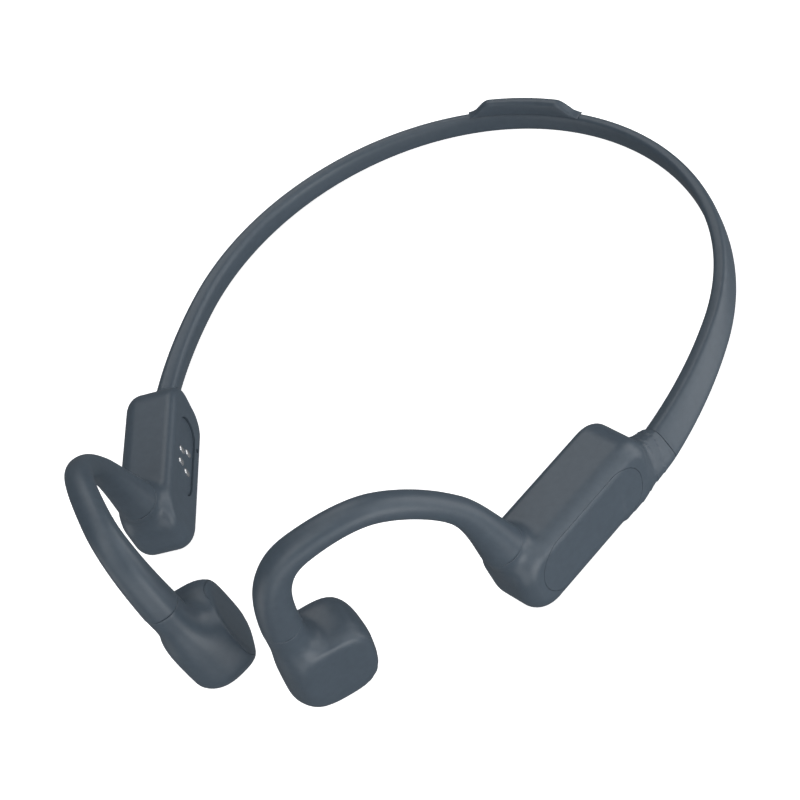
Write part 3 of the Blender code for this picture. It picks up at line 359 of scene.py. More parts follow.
def body(name, rows, mirrored=False, ring=False, crease=35.0):
    """A closed piece from ROWS of points round it: capped by a pole at both ends, or a RING with none."""
    if mirrored:
        rows = rows * (-1.0, 1.0, 1.0)
    count, columns, _ = rows.shape
    points = rows.reshape(-1, 3)
    quads = strips(count, columns, ring)
    triangles = np.zeros((0, 3), int)
    if not ring:
        points = np.concatenate((points, rows[:1].mean(axis=1), rows[-1:].mean(axis=1)))
        first = fan(0, columns, count * columns)
        last = fan((count - 1) * columns, columns, count * columns + 1)[:, ::-1]
        triangles = np.concatenate((first, last))
    if enclosed(points, quads) + enclosed(points, triangles) < 0.0:
        quads, triangles = quads[:, ::-1], triangles[:, ::-1]
    mesh = bpy.data.meshes.new(name)
    mesh.from_pydata(points.tolist(), [], quads.tolist() + triangles.tolist())
    mesh.shade_smooth()
    mesh.set_sharp_from_angle(angle=math.radians(crease))
    made = bpy.data.objects.new(name, mesh)
    bpy.context.collection.objects.link(made)
    return made


def shaped(piece, cuts, crease=30.0):
    """PIECE after exact Booleans: CUTS are (operation, cutter), and the cutters are used up."""
    for operation, cutter in cuts:
        modifier = piece.modifiers.new(operation.lower(), "BOOLEAN")
        modifier.operation = operation
        modifier.solver = "EXACT"
        modifier.object = cutter
    graph = bpy.context.evaluated_depsgraph_get()
    mesh = bpy.data.meshes.new_from_object(piece.evaluated_get(graph))
    piece.modifiers.clear()
    piece.data = mesh
    mesh.shade_smooth()
    mesh.set_sharp_from_angle(angle=math.radians(crease))
    for _, cutter in cuts:
        bpy.data.objects.remove(cutter)
    return piece


def cast(origins, directions, distance, reach):
    """Points where rays leave a solid: the stretch from inside to outside is halved until it is tiny."""
    near = np.zeros(directions.shape[:-1])
    far = np.full(directions.shape[:-1], reach)
    for _ in range(20):
        middle = (near + far) / 2.0
        inside = distance(origins + directions * middle[..., None]) < 0.0
        near = np.where(inside, middle, near)
        far = np.where(inside, far, middle)
    return origins + directions * ((near + far) / 2.0)[..., None]


def soft_union(first, second, softness):
    """The lesser of two distances, with the corner between them filled by a parabola."""
    share = np.maximum(softness - np.abs(first - second), 0.0) / softness
    return np.minimum(first, second) - share * share * softness / 4.0


def soft_common(first, second, softness):
    """The greater of two distances, with the edge between them rounded by a parabola."""
    return -soft_union(-first, -second, softness)


def corner_distance(beyond, rounding):
    """Distance past a rounded corner, from how far a point is BEYOND the start of the rounding each way."""
    outside = np.linalg.norm(np.maximum(beyond, 0.0), axis=-1)
    return outside + np.minimum(beyond.max(axis=-1), 0.0) - rounding


def slab_distance(points, half, corner, outer_rounding, inner_rounding):
    """Distance to a slab: a rectangle with rounded corners, carried across and rounded along both edges.

    INNER_ROUNDING has the roundings of the inner bottom and top edges, and goes evenly from one to the other.
    """
    profile = corner_distance(np.abs(points[..., 0::2]) - (half[0::2] - corner), corner)
    inner = np.interp(points[..., 2], (-half[2] / 2.0, half[2] / 2.0), inner_rounding)
    rounding = np.where(points[..., 1] > 0.0, outer_rounding, inner)
    across = np.abs(points[..., 1]) - half[1]
    return corner_distance(np.stack((profile, across), axis=-1) + rounding[..., None], rounding)


def rod_distance(points, centres, radii):
    """Distance to a rod of changing radius: the least over the straight stretches between CENTRES."""
    nearest = np.full(points.shape[:-1], 1.0)
    for start, end, first, last in zip(centres[:-1], centres[1:], radii[:-1], radii[1:]):
        span = end - start
        share = np.clip((points - start) @ span / (span @ span), 0.0, 1.0)
        gap = np.linalg.norm(points - start - share[..., None] * span, axis=-1)
        nearest = np.minimum(nearest, gap - first - (last - first) * share)
    return nearest


def bar_distance(points, centres, across, upward, halves, squareness):
    """Distance to a bar of superelliptic section, from the nearest of its straight stretches."""
    nearest = np.full(points.shape[:-1], 1.0)
    for index in range(len(centres) - 1):
        start, span = centres[index], centres[index + 1] - centres[index]
        share = np.clip((points - start) @ span / (span @ span), 0.0, 1.0)[..., None]
        offset = points - start - share * span
        half = halves[index] + (halves[index + 1] - halves[index]) * share
        side = np.abs(offset @ across[index]) / half[..., 0]
        rise = np.abs(offset @ upward[index]) / half[..., 1]
        section = ((side**squareness + rise**squareness) ** (1.0 / squareness) - 1.0) * half.min(axis=-1)
        beyond = np.abs(offset @ unit(span))
        nearest = np.minimum(nearest, np.maximum(section, beyond - STRETCH_OVERLAP))
    return nearest


def slot_outline(size, centre=(0.0, 0.0), count=48):
    """A slot with round ends, LENGTH forward and HEIGHT up: a circle whose halves are pulled apart."""
    length, height = size
    angle = 2.0 * math.pi * (np.arange(count) + 0.5) / count
    radius = min(length, height) / 2.0
    x = np.cos(angle) * radius + np.sign(np.cos(angle)) * (length / 2.0 - radius)
    z = np.sin(angle) * radius + np.sign(np.sin(angle)) * (height / 2.0 - radius)
    return np.stack((x + centre[0], z + centre[1]), axis=-1)


def slot_rows(place, size, levels, insets=None, centre=(0.0, 0.0)):
    """Rings of a slot-shaped plug across a frame: one at each of LEVELS, drawn in by INSETS."""
    insets = np.zeros(len(levels)) if insets is None else insets
    rows = []
    for level, inset in zip(levels, insets):
        outline = slot_outline(np.asarray(size) - 2.0 * inset, centre)
        rows.append(np.stack((outline[:, 0], np.full(len(outline), level), outline[:, 1]), axis=-1))
    return place.out(np.array(rows))


def slot_cutter(place, size, low, high, mirrored, centre=(0.0, 0.0)):
    """A straight slot-shaped plug across a frame, from LOW to HIGH."""
    return body("cutter", slot_rows(place, size, (low, high), centre=centre), mirrored)


def edge_levels(low, high, rounding, steps=4):
    """Levels and insets of a plug whose far edge is rounded on a quarter circle."""
    turn = np.linspace(0.0, math.pi / 2.0, steps)
    levels = np.concatenate(((low,), high - rounding + rounding * np.sin(turn)))
    insets = np.concatenate(((0.0,), rounding * (1.0 - np.cos(turn))))
    return levels, insets


def finished(piece, look, rides, *nodes):
    """Give PIECE its finish, the body it moves with and the nodes that it stands for."""
    piece.data.materials.clear()
    piece.data.materials.append(looks[look])
    if rides:
        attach(piece, rides)
    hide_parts(*nodes)
    return piece


# ---------------------------------------------------------------- finishes


def new_look(name, colour, roughness, metallic=0.0):
    """A material, its shader and its pattern coordinates, which are those of the piece."""
    material = bpy.data.materials.new(name)
    material.use_nodes = True
    shader = material.node_tree.nodes["Principled BSDF"]
    shader.inputs["Base Color"].default_value = (*colour, 1.0)
    shader.inputs["Roughness"].default_value = roughness
    shader.inputs["Metallic"].default_value = metallic
    coordinates = material.node_tree.nodes.new("ShaderNodeTexCoord")
    return material, shader, coordinates.outputs["Object"]


def noise(material, coordinates, scale, detail=2.0, stretch=None):
    """A noise pattern on the piece's own coordinates, SCALE features to the metre."""
    tree = material.node_tree
    if stretch:
        mapping = tree.nodes.new("ShaderNodeMapping")
        mapping.inputs["Scale"].default_value = stretch
        tree.links.new(coordinates, mapping.inputs["Vector"])
        coordinates = mapping.outputs["Vector"]
    pattern = tree.nodes.new("ShaderNodeTexNoise")
    pattern.inputs["Scale"].default_value = scale
    pattern.inputs["Detail"].default_value = detail
    tree.links.new(coordinates, pattern.inputs["Vector"])
    return pattern.outputs["Fac"]


def ranged(material, value, low, high):
    """VALUE spread from LOW to HIGH."""
    node = material.node_tree.nodes.new("ShaderNodeMapRange")
    node.inputs["From Min"].default_value = 0.3
    node.inputs["From Max"].default_value = 0.7
    node.inputs["To Min"].default_value = low
    node.inputs["To Max"].default_value = high
    material.node_tree.links.new(value, node.inputs["Value"])
    return node.outputs["Result"]


def tinted(material, shader, value, dark, light):
    """The base colour runs from DARK to LIGHT with VALUE."""
    ramp = material.node_tree.nodes.new("ShaderNodeValToRGB")
    ramp.color_ramp.elements[0].position = 0.3
    ramp.color_ramp.elements[1].position = 0.7
    ramp.color_ramp.elements[0].color = (*dark, 1.0)
    ramp.color_ramp.elements[1].color = (*light, 1.0)
    material.node_tree.links.new(value, ramp.inputs["Fac"])
    material.node_tree.links.new(ramp.outputs["Color"], shader.inputs["Base Color"])


def bumped(material, shader, value, depth):
    """VALUE raises the surface by up to DEPTH."""
    bump = material.node_tree.nodes.new("ShaderNodeBump")
    bump.inputs["Strength"].default_value = 1.0
    bump.inputs["Distance"].default_value = depth
    material.node_tree.links.new(value, bump.inputs["Height"])
    material.node_tree.links.new(bump.outputs["Normal"], shader.inputs["Normal"])


def grained(name, colour, roughness, grain, depth, variation=0.05, metallic=0.0, stretch=None):
    """A finish with a fine grain: slow drifts of colour and of gloss, and a fine bump."""
    material, shader, coordinates = new_look(name, colour, roughness, metallic)
    colour = np.array(colour)
    drift = noise(material, coordinates, grain / 12.0, 3.0, stretch)
    tinted(material, shader, drift, colour * (1.0 - variation), colour * (1.0 + variation))
    fine = noise(material, coordinates, grain, 3.0, stretch)
    gloss = ranged(material, fine, roughness - 0.03, roughness + 0.03)
    material.node_tree.links.new(gloss, shader.inputs["Roughness"])
    bumped(material, shader, fine, depth)
    return material


SLATE = (0.060, 0.081, 0.104)
looks = {
    "soft_sleeve": grained("soft_sleeve", SLATE, 0.42, 9000.0, 0.004 * MM),
    "shell_plastic": grained("shell_plastic", SLATE, 0.40, 11000.0, 0.003 * MM),
    "contact_metal": grained("contact_metal", (0.86, 0.86, 0.87), 0.25, 6000.0, 0.002 * MM, 0.02, 1.0),
    "spring_wire": grained(
        "spring_wire", (0.55, 0.54, 0.52), 0.35, 5000.0, 0.002 * MM, 0.04, 1.0, stretch=(1.0, 0.1, 1.0)
    ),
    "cable_jacket": grained("cable_jacket", (0.03, 0.03, 0.03), 0.6, 4000.0, 0.005 * MM),
    "seal_rubber": grained("seal_rubber", (0.02, 0.02, 0.02), 0.8, 5000.0, 0.005 * MM),
    "cell_foil": grained("cell_foil", (0.62, 0.63, 0.65), 0.4, 900.0, 0.03 * MM, 0.03, 0.8),
    "foam": grained("foam", (0.05, 0.05, 0.05), 0.95, 3500.0, 0.08 * MM, 0.3),
    "board_green": grained("board_green", (0.02, 0.16, 0.07), 0.45, 1500.0, 0.01 * MM, 0.15),
    "plated_steel": grained("plated_steel", (0.60, 0.60, 0.58), 0.3, 4000.0, 0.002 * MM, 0.04, 1.0),
    "magnet_nickel": grained("magnet_nickel", (0.72, 0.71, 0.68), 0.22, 3000.0, 0.001 * MM, 0.02, 1.0),
    "copper_winding": grained("copper_winding", (0.72, 0.35, 0.20), 0.35, 7000.0, 0.02 * MM, 0.08, 1.0),
}

slot_of = {part["node"]: part["material_slot"] for part in frame["record"]["subparts"]}
for node, carried in frame["nodes"].items():
    carried.data.materials.clear()
    carried.data.materials.append(looks[slot_of[node]])

# ---------------------------------------------------------------- neckband

SIDES = (("left", False), ("right", True))


def band_half(name, mirrored):
    """Sleeve, wire and cable of half the band, from the nape's middle to the housing, as swept profiles."""
    turns = np.linspace(0.0, BAND_SEAM_TURN - SEAM_ROUNDING / BAND_FRONT_REACH, 180)
    centre, outward, up, forward, size = band_at(turns)
    skin = swept(centre, outward, up, size[:, 0] / 2.0, size[:, 1] / 2.0, unit_oval(64, BAND_SQUARENESS))
    tip = rounded_end(skin[-1], centre[-1], forward[-1], SEAM_ROUNDING)
    passage = swept(centre, outward, up, *PASSAGE_HALF, unit_oval(64, BAND_SQUARENESS))
    inner_tip = (passage[-1] + forward[-1] * SEAM_ROUNDING)[None]
    rows = np.concatenate((skin, tip, inner_tip, passage[::-1]))
    pieces = [(body(f"neckband_sleeve_{name}_half", rows, mirrored, ring=True), "soft_sleeve", "sleeve")]
    core_turns = np.linspace(0.0, BAND_CORE_TURN, 120)
    centre, outward, up, _, _ = band_at(core_turns)
    for kind, radius, rise, look in (
        ("wire", WIRE_RADIUS, WIRE_RISE, "spring_wire"),
        ("cable", CABLE_RADIUS, CABLE_RISE, "cable_jacket"),
    ):
        core = swept(centre + up * rise, outward, up, radius, radius, unit_oval(16))
        pieces.append((body(f"neckband_{kind}_{name}_half", core, mirrored), look, kind))
    ends, _, _, _, _ = band_at([FLEX_TURN - FLEX_SPREAD, FLEX_TURN + FLEX_SPREAD])
    if mirrored:
        ends = ends * (-1.0, 1.0, 1.0)
    for piece, look, kind in pieces:
        finished(piece, look, None, f"neckband_{kind}_{name}", f"neckband_{kind}_nape")
        tuple(ends[0])
        tuple(ends[1])
        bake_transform(piece)


def nape_fin():
    """The tab on the band: its height rises on a smooth step from each foot, and its top is chamfered."""
    foot_turn = math.asin(FIN_FOOT_WIDTH / 2.0 / BAND_HALF_WIDTH)
    top_turn = math.asin(FIN_TOP_WIDTH / 2.0 / BAND_HALF_WIDTH)
    turns = np.linspace(-foot_turn, foot_turn, 121)
    centre, outward, _, _, size = band_at(turns)
    outward = unit(outward * (1.0, 1.0, 0.0))
    rise = np.clip((foot_turn - np.abs(turns)) / (foot_turn - top_turn), 0.0, 1.0)
    rise = rise * rise * (3.0 - 2.0 * rise)
    foot = size[:, 1] / 2.0 + FIT_GAP * 0.2
    height = FIN_STEP + (FIN_HEIGHT - FIN_STEP) * rise
    half = FIN_THICKNESS / 2.0
    soft = FIN_SOFTENING
    chamfer = np.minimum(FIN_CHAMFER, height * 0.5)
    # across and up from the foot: bottom corners, then each side's chamfer between two softened corners
    low = [(-half + soft, 0.0), (half - soft, 0.0), (half - soft * 0.3, soft * 0.3), (half, soft)]
    across = [np.full(len(turns), a) for a, _ in low]
    rises = [np.minimum(b, height * 0.4) for _, b in low]
    for share, drop in ((1.0, 1.3), (0.93, 1.0), (0.7, 0.72), (0.3, 0.28), (0.0, 0.07), (-0.4, 0.0)):
        across.append(half - chamfer * (1.0 - share))
        rises.append(height - chamfer * drop)
    across += [-a for a in across[:3:-1]]
    across += [np.full(len(turns), -half), np.full(len(turns), -half + soft * 0.3)]
    rises += rises[:3:-1] + [rises[3], rises[2]]
    across, rises = np.stack(across, axis=1), np.stack(rises, axis=1)
    rows = centre[:, None] + outward[:, None] * across[..., None] + UP * (rises + foot[:, None])[..., None]
    piece = body("nape_fin_tab", rows, crease=50.0)
    finished(piece, "soft_sleeve", "nape", "nape_fin")


# ---------------------------------------------------------------- hooks


def ear_hook(name, mirrored):
    """Sleeve of one hook: a round profile carried along the hook, with a passage through it."""
    gap = SEAM_ROUNDING / HOOK_ROOT_SPAN
    places = np.linspace(HOOK_SEAM_PLACE + gap, POD_SEAM_PLACE - gap * 1.3, 240)
    centre, sideways, upward, along, radius = hook_at(places)
    skin = swept(centre, sideways, upward, radius, radius, unit_oval(64, HOOK_SQUARENESS))
    skin = with_rounded_ends(skin, centre, -along[0], along[-1], SEAM_ROUNDING)
    passage = swept(centre, sideways, upward, *PASSAGE_HALF, unit_oval(64, BAND_SQUARENESS))
    first = passage[:1] - along[0] * SEAM_ROUNDING
    last = passage[-1:] + along[-1] * SEAM_ROUNDING
    rows = np.concatenate((skin, last, passage[::-1], first))
    piece = body(f"{name}_hook_skin", rows, mirrored, ring=True)
    finished(piece, "soft_sleeve", f"{name}_arm", f"{name}_hook_sleeve")


# ---------------------------------------------------------------- housings

hook_neck_places = np.linspace(0.8, 1.5, 8)
neck_centre, _, _, _, _ = hook_at(hook_neck_places)
NECK_CENTRES = HOUSING.into(neck_centre)
NECK_RADII = np.interp(hook_neck_places, (0.45, HOOK_SEAM_PLACE), (FRONT_NECK_RADIUS, HOOK_ROOT_RADIUS))

tail_turns = np.linspace(BAND_SEAM_TURN - 0.05, BAND_CORE_TURN, 9)
tail_centre, tail_outward, _, _, _ = band_at(tail_turns)
tail_share = ((tail_turns - BAND_SEAM_TURN) / (BAND_CORE_TURN - BAND_SEAM_TURN))[:, None]
tail_size = BAND_SEAM_SIZE + (REAR_NECK_SIZE - BAND_SEAM_SIZE) * np.maximum(tail_share, 0.0)
tail_centre = tail_centre * (1.0, 1.0, 0.0) + UP * tail_size[:, 1:] / 2.0
tail_level = unit(tail_outward * (1.0, 1.0, 0.0))
tail_centre += tail_level * (BAND_SEAM_SIZE[0] - tail_size[:, :1]) / 2.0
TAIL_CENTRES = HOUSING.into(tail_centre)
tail_lean = BAND_LEAN * (1.0 - np.maximum(tail_share, 0.0))
TAIL_ACROSS = (tail_level * np.cos(tail_lean) + UP * np.sin(tail_lean)) @ HOUSING.axes.T
TAIL_UP = (UP * np.cos(tail_lean) - tail_level * np.sin(tail_lean)) @ HOUSING.axes.T
HOUSING_HALF = np.array((HOUSING_LENGTH, HOUSING_THICKNESS, HOUSING_HEIGHT)) / 2.0


def housing_distance(points):
    """The rounded box, joined softly to the hook's neck in front and to the band's neck behind."""
    box = slab_distance(points, HOUSING_HALF, HOUSING_CORNER, HOUSING_OUTER_ROUNDING, HOUSING_INNER_ROUNDING)
    neck = rod_distance(points, NECK_CENTRES, NECK_RADII)
    tail = bar_distance(points, TAIL_CENTRES, TAIL_ACROSS, TAIL_UP, tail_size / 2.0, BAND_SQUARENESS)
    return soft_union(soft_union(box, neck, FRONT_NECK_BLEND), tail, REAR_NECK_BLEND)


def housing_planes():
    """Middles and normals of the planes that the housing's rings lie in.

    They run from the band's seam, forward, and then fan up to the hook's seam. The planes of the fan all
    pass through a line above the top face, the centre of the hollow behind the hook's neck.
    """
    seam_clear = SEAM_GAP + SEAM_ROUNDING
    seam_centre, _, _, seam_forward, _ = band_at([BAND_SEAM_TURN + seam_clear / BAND_FRONT_REACH])
    start = HOUSING.into(seam_centre)[0]
    heading = HOUSING.axes @ seam_forward[0]
    seam, _, _, along, _ = hook_at([HOOK_SEAM_PLACE - seam_clear / HOOK_ROOT_SPAN])
    seam, rise = HOUSING.into(seam)[0], HOUSING.axes @ along[0]
    lift = math.atan2(rise[2], rise[0])
    pivot = FAN_PIVOT
    top_middle = seam - rise * ((seam - pivot) @ rise)

    ahead = np.array((1.0, 0.0, 0.0))
    share = np.linspace(0.0, 1.0, 60)
    eased = share * share * (3.0 - 2.0 * share)
    rear = start + (REAR_BEND_END - start) * np.stack((share, eased, eased), axis=-1)
    rear_normal = unit(heading + (ahead - heading) * eased[:, None])
    straight = np.linspace(REAR_BEND_END[0], pivot[0], 40)[1:, None] * ahead
    straight_normal = np.broadcast_to(ahead, straight.shape)
    turn = np.linspace(0.0, lift, 80)[1:, None]
    fan_normal = np.concatenate((np.cos(turn), 0.0 * turn, np.sin(turn)), axis=-1)
    downward = np.concatenate((np.sin(turn), 0.0 * turn, -np.cos(turn)), axis=-1)
    reach = np.linalg.norm(top_middle - pivot)
    fanned = pivot + downward * (pivot[2] + (reach - pivot[2]) * turn / lift)
    fanned[:, 1] = top_middle[1] * (turn / lift)[:, 0]
    stub = top_middle + (seam - top_middle) * np.linspace(0.0, 1.0, 6)[1:, None]
    stub_normal = np.broadcast_to(rise, stub.shape)
    middles = np.concatenate((rear, straight, fanned, stub))
    return middles, unit(np.concatenate((rear_normal, straight_normal, fan_normal, stub_normal)))


def housing_rows(columns=144):
    """Rings round the housing: in each plane a ray goes out from its middle at each of COLUMNS angles."""
    middles, normals = housing_planes()
    tee = unit(np.cross(normals, np.broadcast_to((0.0, 1.0, 0.0), normals.shape)))
    side = np.cross(tee, normals)
    angle = 2.0 * math.pi * np.arange(columns) / columns
    rays = side[:, None] * np.cos(angle)[None, :, None] + tee[:, None] * np.sin(angle)[None, :, None]
    rows = cast(middles[:, None], rays, housing_distance, 22.0 * MM)
    return with_rounded_ends(rows, middles, -normals[0], normals[-1], SEAM_ROUNDING)


def bore(first, last, mirrored):
    """A round passage along the hook's centre line."""
    centre, sideways, upward, _, _ = hook_at(np.linspace(first, last, 8))
    rows = swept(centre, sideways, upward, NECK_BORE_RADIUS, NECK_BORE_RADIUS, unit_oval(24))
    return body("cutter", rows, mirrored)


def tail_bore(mirrored):
    """A round passage along the band's end."""
    centre, outward, up, _, _ = band_at(np.linspace(BAND_SEAM_TURN - 0.03, BAND_CORE_TURN + 0.03, 8))
    rows = swept(centre, outward, up, NECK_BORE_RADIUS, NECK_BORE_RADIUS, unit_oval(24))
    return body("cutter", rows, mirrored)


def key_slot_rows(forward, size, levels, insets):
    """Rings of a rounded key at the housing's lower edge, one at each of LEVELS above its middle."""
    u, v = unit_oval(40, 5.0)
    rows = []
    for level, inset in zip(levels, insets):
        x = forward + u * (size[0] / 2.0 - inset)
        y = KEY_ACROSS + v * (size[1] / 2.0 - inset)
        rows.append(np.stack((x, y, np.full(len(u), level)), axis=-1))
    return HOUSING.out(np.array(rows))


def housing(name, mirrored, rows):
    """Shell, cover plate and, on the right, the openings for the charging port, microphone and keys."""
    half = HOUSING_THICKNESS / 2.0
    beyond = half + CUT_OVERRUN
    shell = body(f"{name}_housing_shell", rows, mirrored)
    plate = body(f"{name}_cover_plate_skin", rows, mirrored)
    plate_size = COVER_SIZE - 2.0 * FIT_GAP
    plug = slot_cutter(HOUSING, plate_size, half - COVER_THICKNESS, beyond, mirrored)
    shaped(plate, [("INTERSECT", plug)])
    cuts = [
        ("DIFFERENCE", slot_cutter(HOUSING, COVER_SIZE, REBATE_FLOOR, beyond, mirrored)),
        ("DIFFERENCE", slot_cutter(HOUSING, CAVITY_SIZE, CAVITY_FLOOR, half, mirrored)),
        ("DIFFERENCE", tail_bore(mirrored)),
        ("DIFFERENCE", bore(0.1, HOOK_SEAM_PLACE + 0.1, mirrored)),
    ]
    if mirrored:
        inward = -half - CUT_OVERRUN
        floor = CAVITY_FLOOR + CUT_OVERRUN / 2.0
        hole = (MICROPHONE_HOLE, MICROPHONE_HOLE)
        for opening, centre in ((INSERT_SIZE, INSERT_CENTRE), (hole, MICROPHONE_PLACE)):
            cuts.append(("DIFFERENCE", slot_cutter(HOUSING, opening, floor, inward, mirrored, centre)))
        for _, forward in KEYS:
            size = KEY_SIZE + 2.0 * FIT_GAP
            opening = key_slot_rows(forward, size, (-HOUSING_HEIGHT, KEY_FLANGE_TOP), (0.0, 0.0))
            cuts.append(("DIFFERENCE", body("cutter", opening, mirrored)))
    shaped(shell, cuts)
    finished(shell, "shell_plastic", f"{name}_arm", f"{name}_housing")
    finished(plate, "shell_plastic", f"{name}_arm", f"{name}_cover_plate")


def charging_port():
    """The oval insert with a softened rim, and its four domed contact pins."""
    front = -HOUSING_THICKNESS / 2.0 + INSERT_RECESS
    levels, insets = edge_levels(front + INSERT_THICKNESS, front, -INSERT_ROUNDING)
    rows = slot_rows(HOUSING, INSERT_SIZE - 2.0 * FIT_GAP, levels, np.abs(insets), INSERT_CENTRE)
    insert = body("charging_insert_plate", rows, True)
    cuts = []
    for index, place in enumerate(PIN_PLACES, start=1):
        at = INSERT_CENTRE + place
        deep, shallow = front + PIN_HOLE_DEPTH, front - CUT_OVERRUN / 2.0
        hole = slot_cutter(HOUSING, PIN_SIZE + FIT_GAP, deep, shallow, True, at)
        cuts.append(("DIFFERENCE", hole))
        levels, insets = edge_levels(-PIN_REACH[0], -PIN_REACH[1] - PIN_CROWN, -PIN_ROUNDING, 6)
        rows = slot_rows(HOUSING, PIN_SIZE, levels, np.abs(insets), at)
        pin = body(f"charging_contact_{index}", rows, True)
        finished(pin, "contact_metal", "right_arm", f"charging_pin_{index}")
    shaped(insert, cuts)
    finished(insert, "shell_plastic", "right_arm", "charging_insert")


def keys():
    """Each key: a rounded cap with a soft lower edge under a wider flange."""
    for name, forward in KEYS:
        turn = np.linspace(math.pi / 2.0, 0.0, 5)
        cap_levels = KEY_BOTTOM + KEY_ROUNDING * (1.0 - np.sin(turn))
        cap_insets = KEY_ROUNDING * (1.0 - np.cos(turn))
        levels = np.concatenate((cap_levels, (KEY_FLANGE_LOW, KEY_FLANGE_LOW, KEY_FLANGE_TOP)))
        insets = np.concatenate((cap_insets, (0.0, -KEY_FLANGE_WIDTH, -KEY_FLANGE_WIDTH)))
        key = body(f"{name}_key_cap", key_slot_rows(forward, KEY_SIZE, levels, insets), True)
        finished(key, "shell_plastic", name, f"{name}_key")


# ---------------------------------------------------------------- pods

pod_neck_centre, _, _, _, _ = hook_at(np.linspace(5.7, 6.15, 6))
POD_NECK_CENTRES = np.concatenate((POD.into(pod_neck_centre), POD_ROD_FOOT[None]))


def pod_distance(points):
    """A superellipsoid cut off flat inside and outside, joined softly to a rod that runs down its front."""
    half = POD_SIZE / 2.0
    crown = np.where(points[..., 1] > 0.0, POD_OUTER_CROWN, POD_INNER_CROWN)
    height = np.where(points[..., 2] > 0.0, POD_TOP_SHARE, 1.0) * half[2]
    sheared = points - points[..., 2:] * (POD_SHEAR, 0.0, 0.0)
    shares = np.abs(sheared) / np.stack((half[0] + 0.0 * crown, half[1] * crown, height), axis=-1)
    form = ((shares**POD_SQUARENESS).sum(axis=-1) ** (1.0 / POD_SQUARENESS) - 1.0) * half.min()
    form = soft_common(form, points[..., 1] - POD_FACET, POD_EDGE)
    form = soft_common(form, -half[1] - points[..., 1], POD_EDGE)
    neck = rod_distance(points, POD_NECK_CENTRES, np.full(len(POD_NECK_CENTRES), HOOK_TIP_RADIUS))
    return soft_union(form, neck, POD_NECK_BLEND)


def pod_rows(columns=200):
    """Rings down the neck, then rays from one point inside the pod, turned on great circles to its foot."""
    places = np.linspace(POD_SEAM_PLACE + (SEAM_GAP + SEAM_ROUNDING) / HOOK_TIP_SPAN, 6.3, 12)
    centre, sideways, upward, along, _ = hook_at(places)
    centre = POD.into(centre)
    sideways, upward, along = sideways @ POD.axes.T, upward @ POD.axes.T, along @ POD.axes.T
    angle = 2.0 * math.pi * np.arange(columns) / columns
    rays = sideways[:, None] * np.cos(angle)[None, :, None] + upward[:, None] * np.sin(angle)[None, :, None]
    neck = cast(centre[:, None], rays, pod_distance, 12.0 * MM)
    first = unit(neck[-1] - POD_HEART)
    foot = np.array((0.0, 0.0, -1.0))
    span = np.arccos(first @ foot)[None, :, None]
    share = np.linspace(0.0, 1.0, 170)[1:-1, None, None]
    rays = (np.sin((1.0 - share) * span) * first + np.sin(share * span) * foot) / np.sin(span)
    drop = cast(POD_HEART, rays, pod_distance, 14.0 * MM)
    rim = rounded_end(neck[0], centre[0], -along[0], SEAM_ROUNDING)[::-1]
    return POD.out(np.concatenate((rim, neck, drop)))


def pod(name, mirrored, rows):
    """Shell with its pocket, and the contact pad that closes it, flush with the inner face."""
    half = POD_SIZE[1] / 2.0
    beyond = -half - CUT_OVERRUN
    shell = body(f"{name}_pod_skin", rows, mirrored)
    pad = body(f"{name}_contact_pad_skin", rows, mirrored)
    plug = slot_cutter(POD, PAD_SIZE - 2.0 * FIT_GAP, PAD_THICKNESS - half, beyond, mirrored)
    shaped(pad, [("INTERSECT", plug)])
    rebate = PAD_THICKNESS - half + REBATE_SPARE
    cuts = [
        ("DIFFERENCE", slot_cutter(POD, PAD_SIZE, rebate, beyond, mirrored)),
        ("DIFFERENCE", slot_cutter(POD, POCKET_SIZE, POCKET_FLOOR, -half, mirrored)),
        ("DIFFERENCE", bore(POD_SEAM_PLACE - 0.1, 6.95, mirrored)),
    ]
    shaped(shell, cuts)
    finished(shell, "shell_plastic", f"{name}_arm", f"{name}_pod_shell")
    finished(pad, "soft_sleeve", f"{name}_arm", f"{name}_contact_pad")


# ---------------------------------------------------------------- assembly

housing_skin = HOUSING.out(housing_rows())
pod_skin = pod_rows()
nape_fin()
for side_name, is_mirrored in SIDES:
    band_half(side_name, is_mirrored)
    ear_hook(side_name, is_mirrored)
    housing(side_name, is_mirrored, housing_skin)
    pod(side_name, is_mirrored, pod_skin)
charging_port()
keys()

# ---------------------------------------------------------------- camera, floor and light

CAMERA_PLACE = Vector((0.133907, -0.162459, 0.217008))
CAMERA_AZIMUTH = math.radians(40.498)
CAMERA_ELEVATION = math.radians(45.85)
CAMERA_ROLL = math.radians(26.767)
CAMERA_LENS = 81.0
FLOOR_DROP = 0.6 * MM
LIGHT_SIZE = 0.7
LIGHTS = (
    ("top_light", 88.0, 0.0, 1.5),
    ("back_light", 50.0, 118.0, 2.0),
    ("high_right_light", 50.0, 15.0, 0.9),
    ("high_front_light", 50.0, 285.0, 2.2),
    ("right_light", 20.0, 0.0, 1.4),
    ("back_right_light", 15.0, 45.0, 2.4),
    ("front_light", 20.0, 270.0, 1.2),
    ("low_right_light", -15.0, 337.0, 3.6),
    ("low_front_light", -15.0, 292.0, 1.8),
    ("low_back_light", -15.0, 28.0, 2.0),
    ("low_left_light", -15.0, 228.0, 1.2),
)


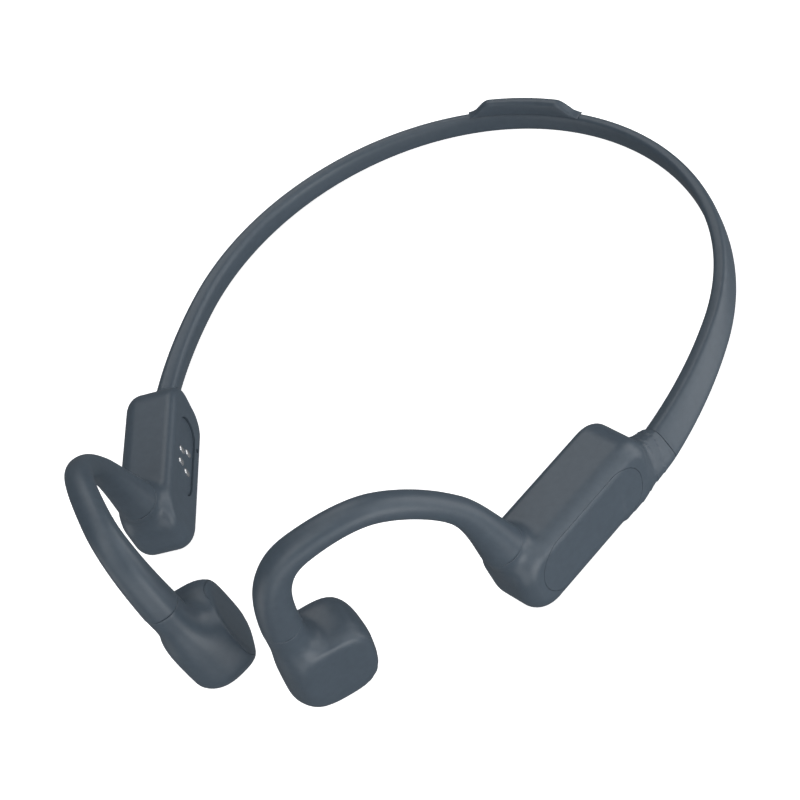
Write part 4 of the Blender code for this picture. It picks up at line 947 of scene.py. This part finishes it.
def add_camera():
    """A camera at CAMERA_PLACE, turned to its azimuth, tipped down and rolled about its line of sight."""
    azimuth, elevation, roll = CAMERA_AZIMUTH, CAMERA_ELEVATION, CAMERA_ROLL
    ahead = Vector(
        (
            -math.sin(azimuth) * math.cos(elevation),
            math.cos(azimuth) * math.cos(elevation),
            -math.sin(elevation),
        )
    )
    level = Vector((math.cos(azimuth), math.sin(azimuth), 0.0))
    down = ahead.cross(level)
    right = level * math.cos(roll) + down * math.sin(roll)
    below = down * math.cos(roll) - level * math.sin(roll)
    data = bpy.data.cameras.new("camera")
    data.lens = CAMERA_LENS
    data.sensor_width = 36.0
    data.clip_start = 0.01
    data.clip_end = 20.0
    made = bpy.data.objects.new("camera", data)
    turned = Matrix((right, -below, -ahead)).transposed().to_4x4()
    made.matrix_world = Matrix.Translation(CAMERA_PLACE) @ turned
    bpy.context.collection.objects.link(made)
    bpy.context.scene.camera = made


def add_light(name, elevation, azimuth, power):
    """A round soft light a metre away, ELEVATION degrees up and AZIMUTH degrees round from +X."""
    lift, turn = math.radians(elevation), math.radians(azimuth)
    place = Vector((math.cos(lift) * math.cos(turn), math.cos(lift) * math.sin(turn), math.sin(lift)))
    data = bpy.data.lights.new(name, "AREA")
    data.shape = "DISK"
    data.size = LIGHT_SIZE
    data.energy = power
    made = bpy.data.objects.new(name, data)
    made.location = place
    made.rotation_euler = (-place).to_track_quat("-Z", "Y").to_euler()
    bpy.context.collection.objects.link(made)


def add_floor():
    """A pale floor just under the headset. It glows, so shadows on it stay faint, and lights nothing."""
    bpy.ops.mesh.primitive_plane_add(size=6.0, location=(0.0, 0.0, -FLOOR_DROP))
    floor = bpy.context.object
    floor.name = "floor"
    material, shader, coordinates = new_look("pale_floor", (0.9, 0.9, 0.9), 0.9)
    tinted(material, shader, noise(material, coordinates, 3.0), (0.89, 0.89, 0.89), (0.91, 0.91, 0.91))
    shader.inputs["Specular IOR Level"].default_value = 0.0
    shader.inputs["Emission Color"].default_value = (1.0, 1.0, 1.0, 1.0)
    shader.inputs["Emission Strength"].default_value = 0.85
    floor.data.materials.append(material)
    floor.visible_diffuse = False
    floor.visible_glossy = False
    floor.visible_shadow = False


add_camera()
add_floor()
for light in LIGHTS:
    add_light(*light)
world = bpy.data.worlds.new("studio")
world.use_nodes = True
world.node_tree.nodes["Background"].inputs["Color"].default_value = (0.9, 0.95, 1.0, 1.0)
world.node_tree.nodes["Background"].inputs["Strength"].default_value = 0.16
bpy.context.scene.world = world
bpy.context.scene.view_settings.view_transform = "Standard"
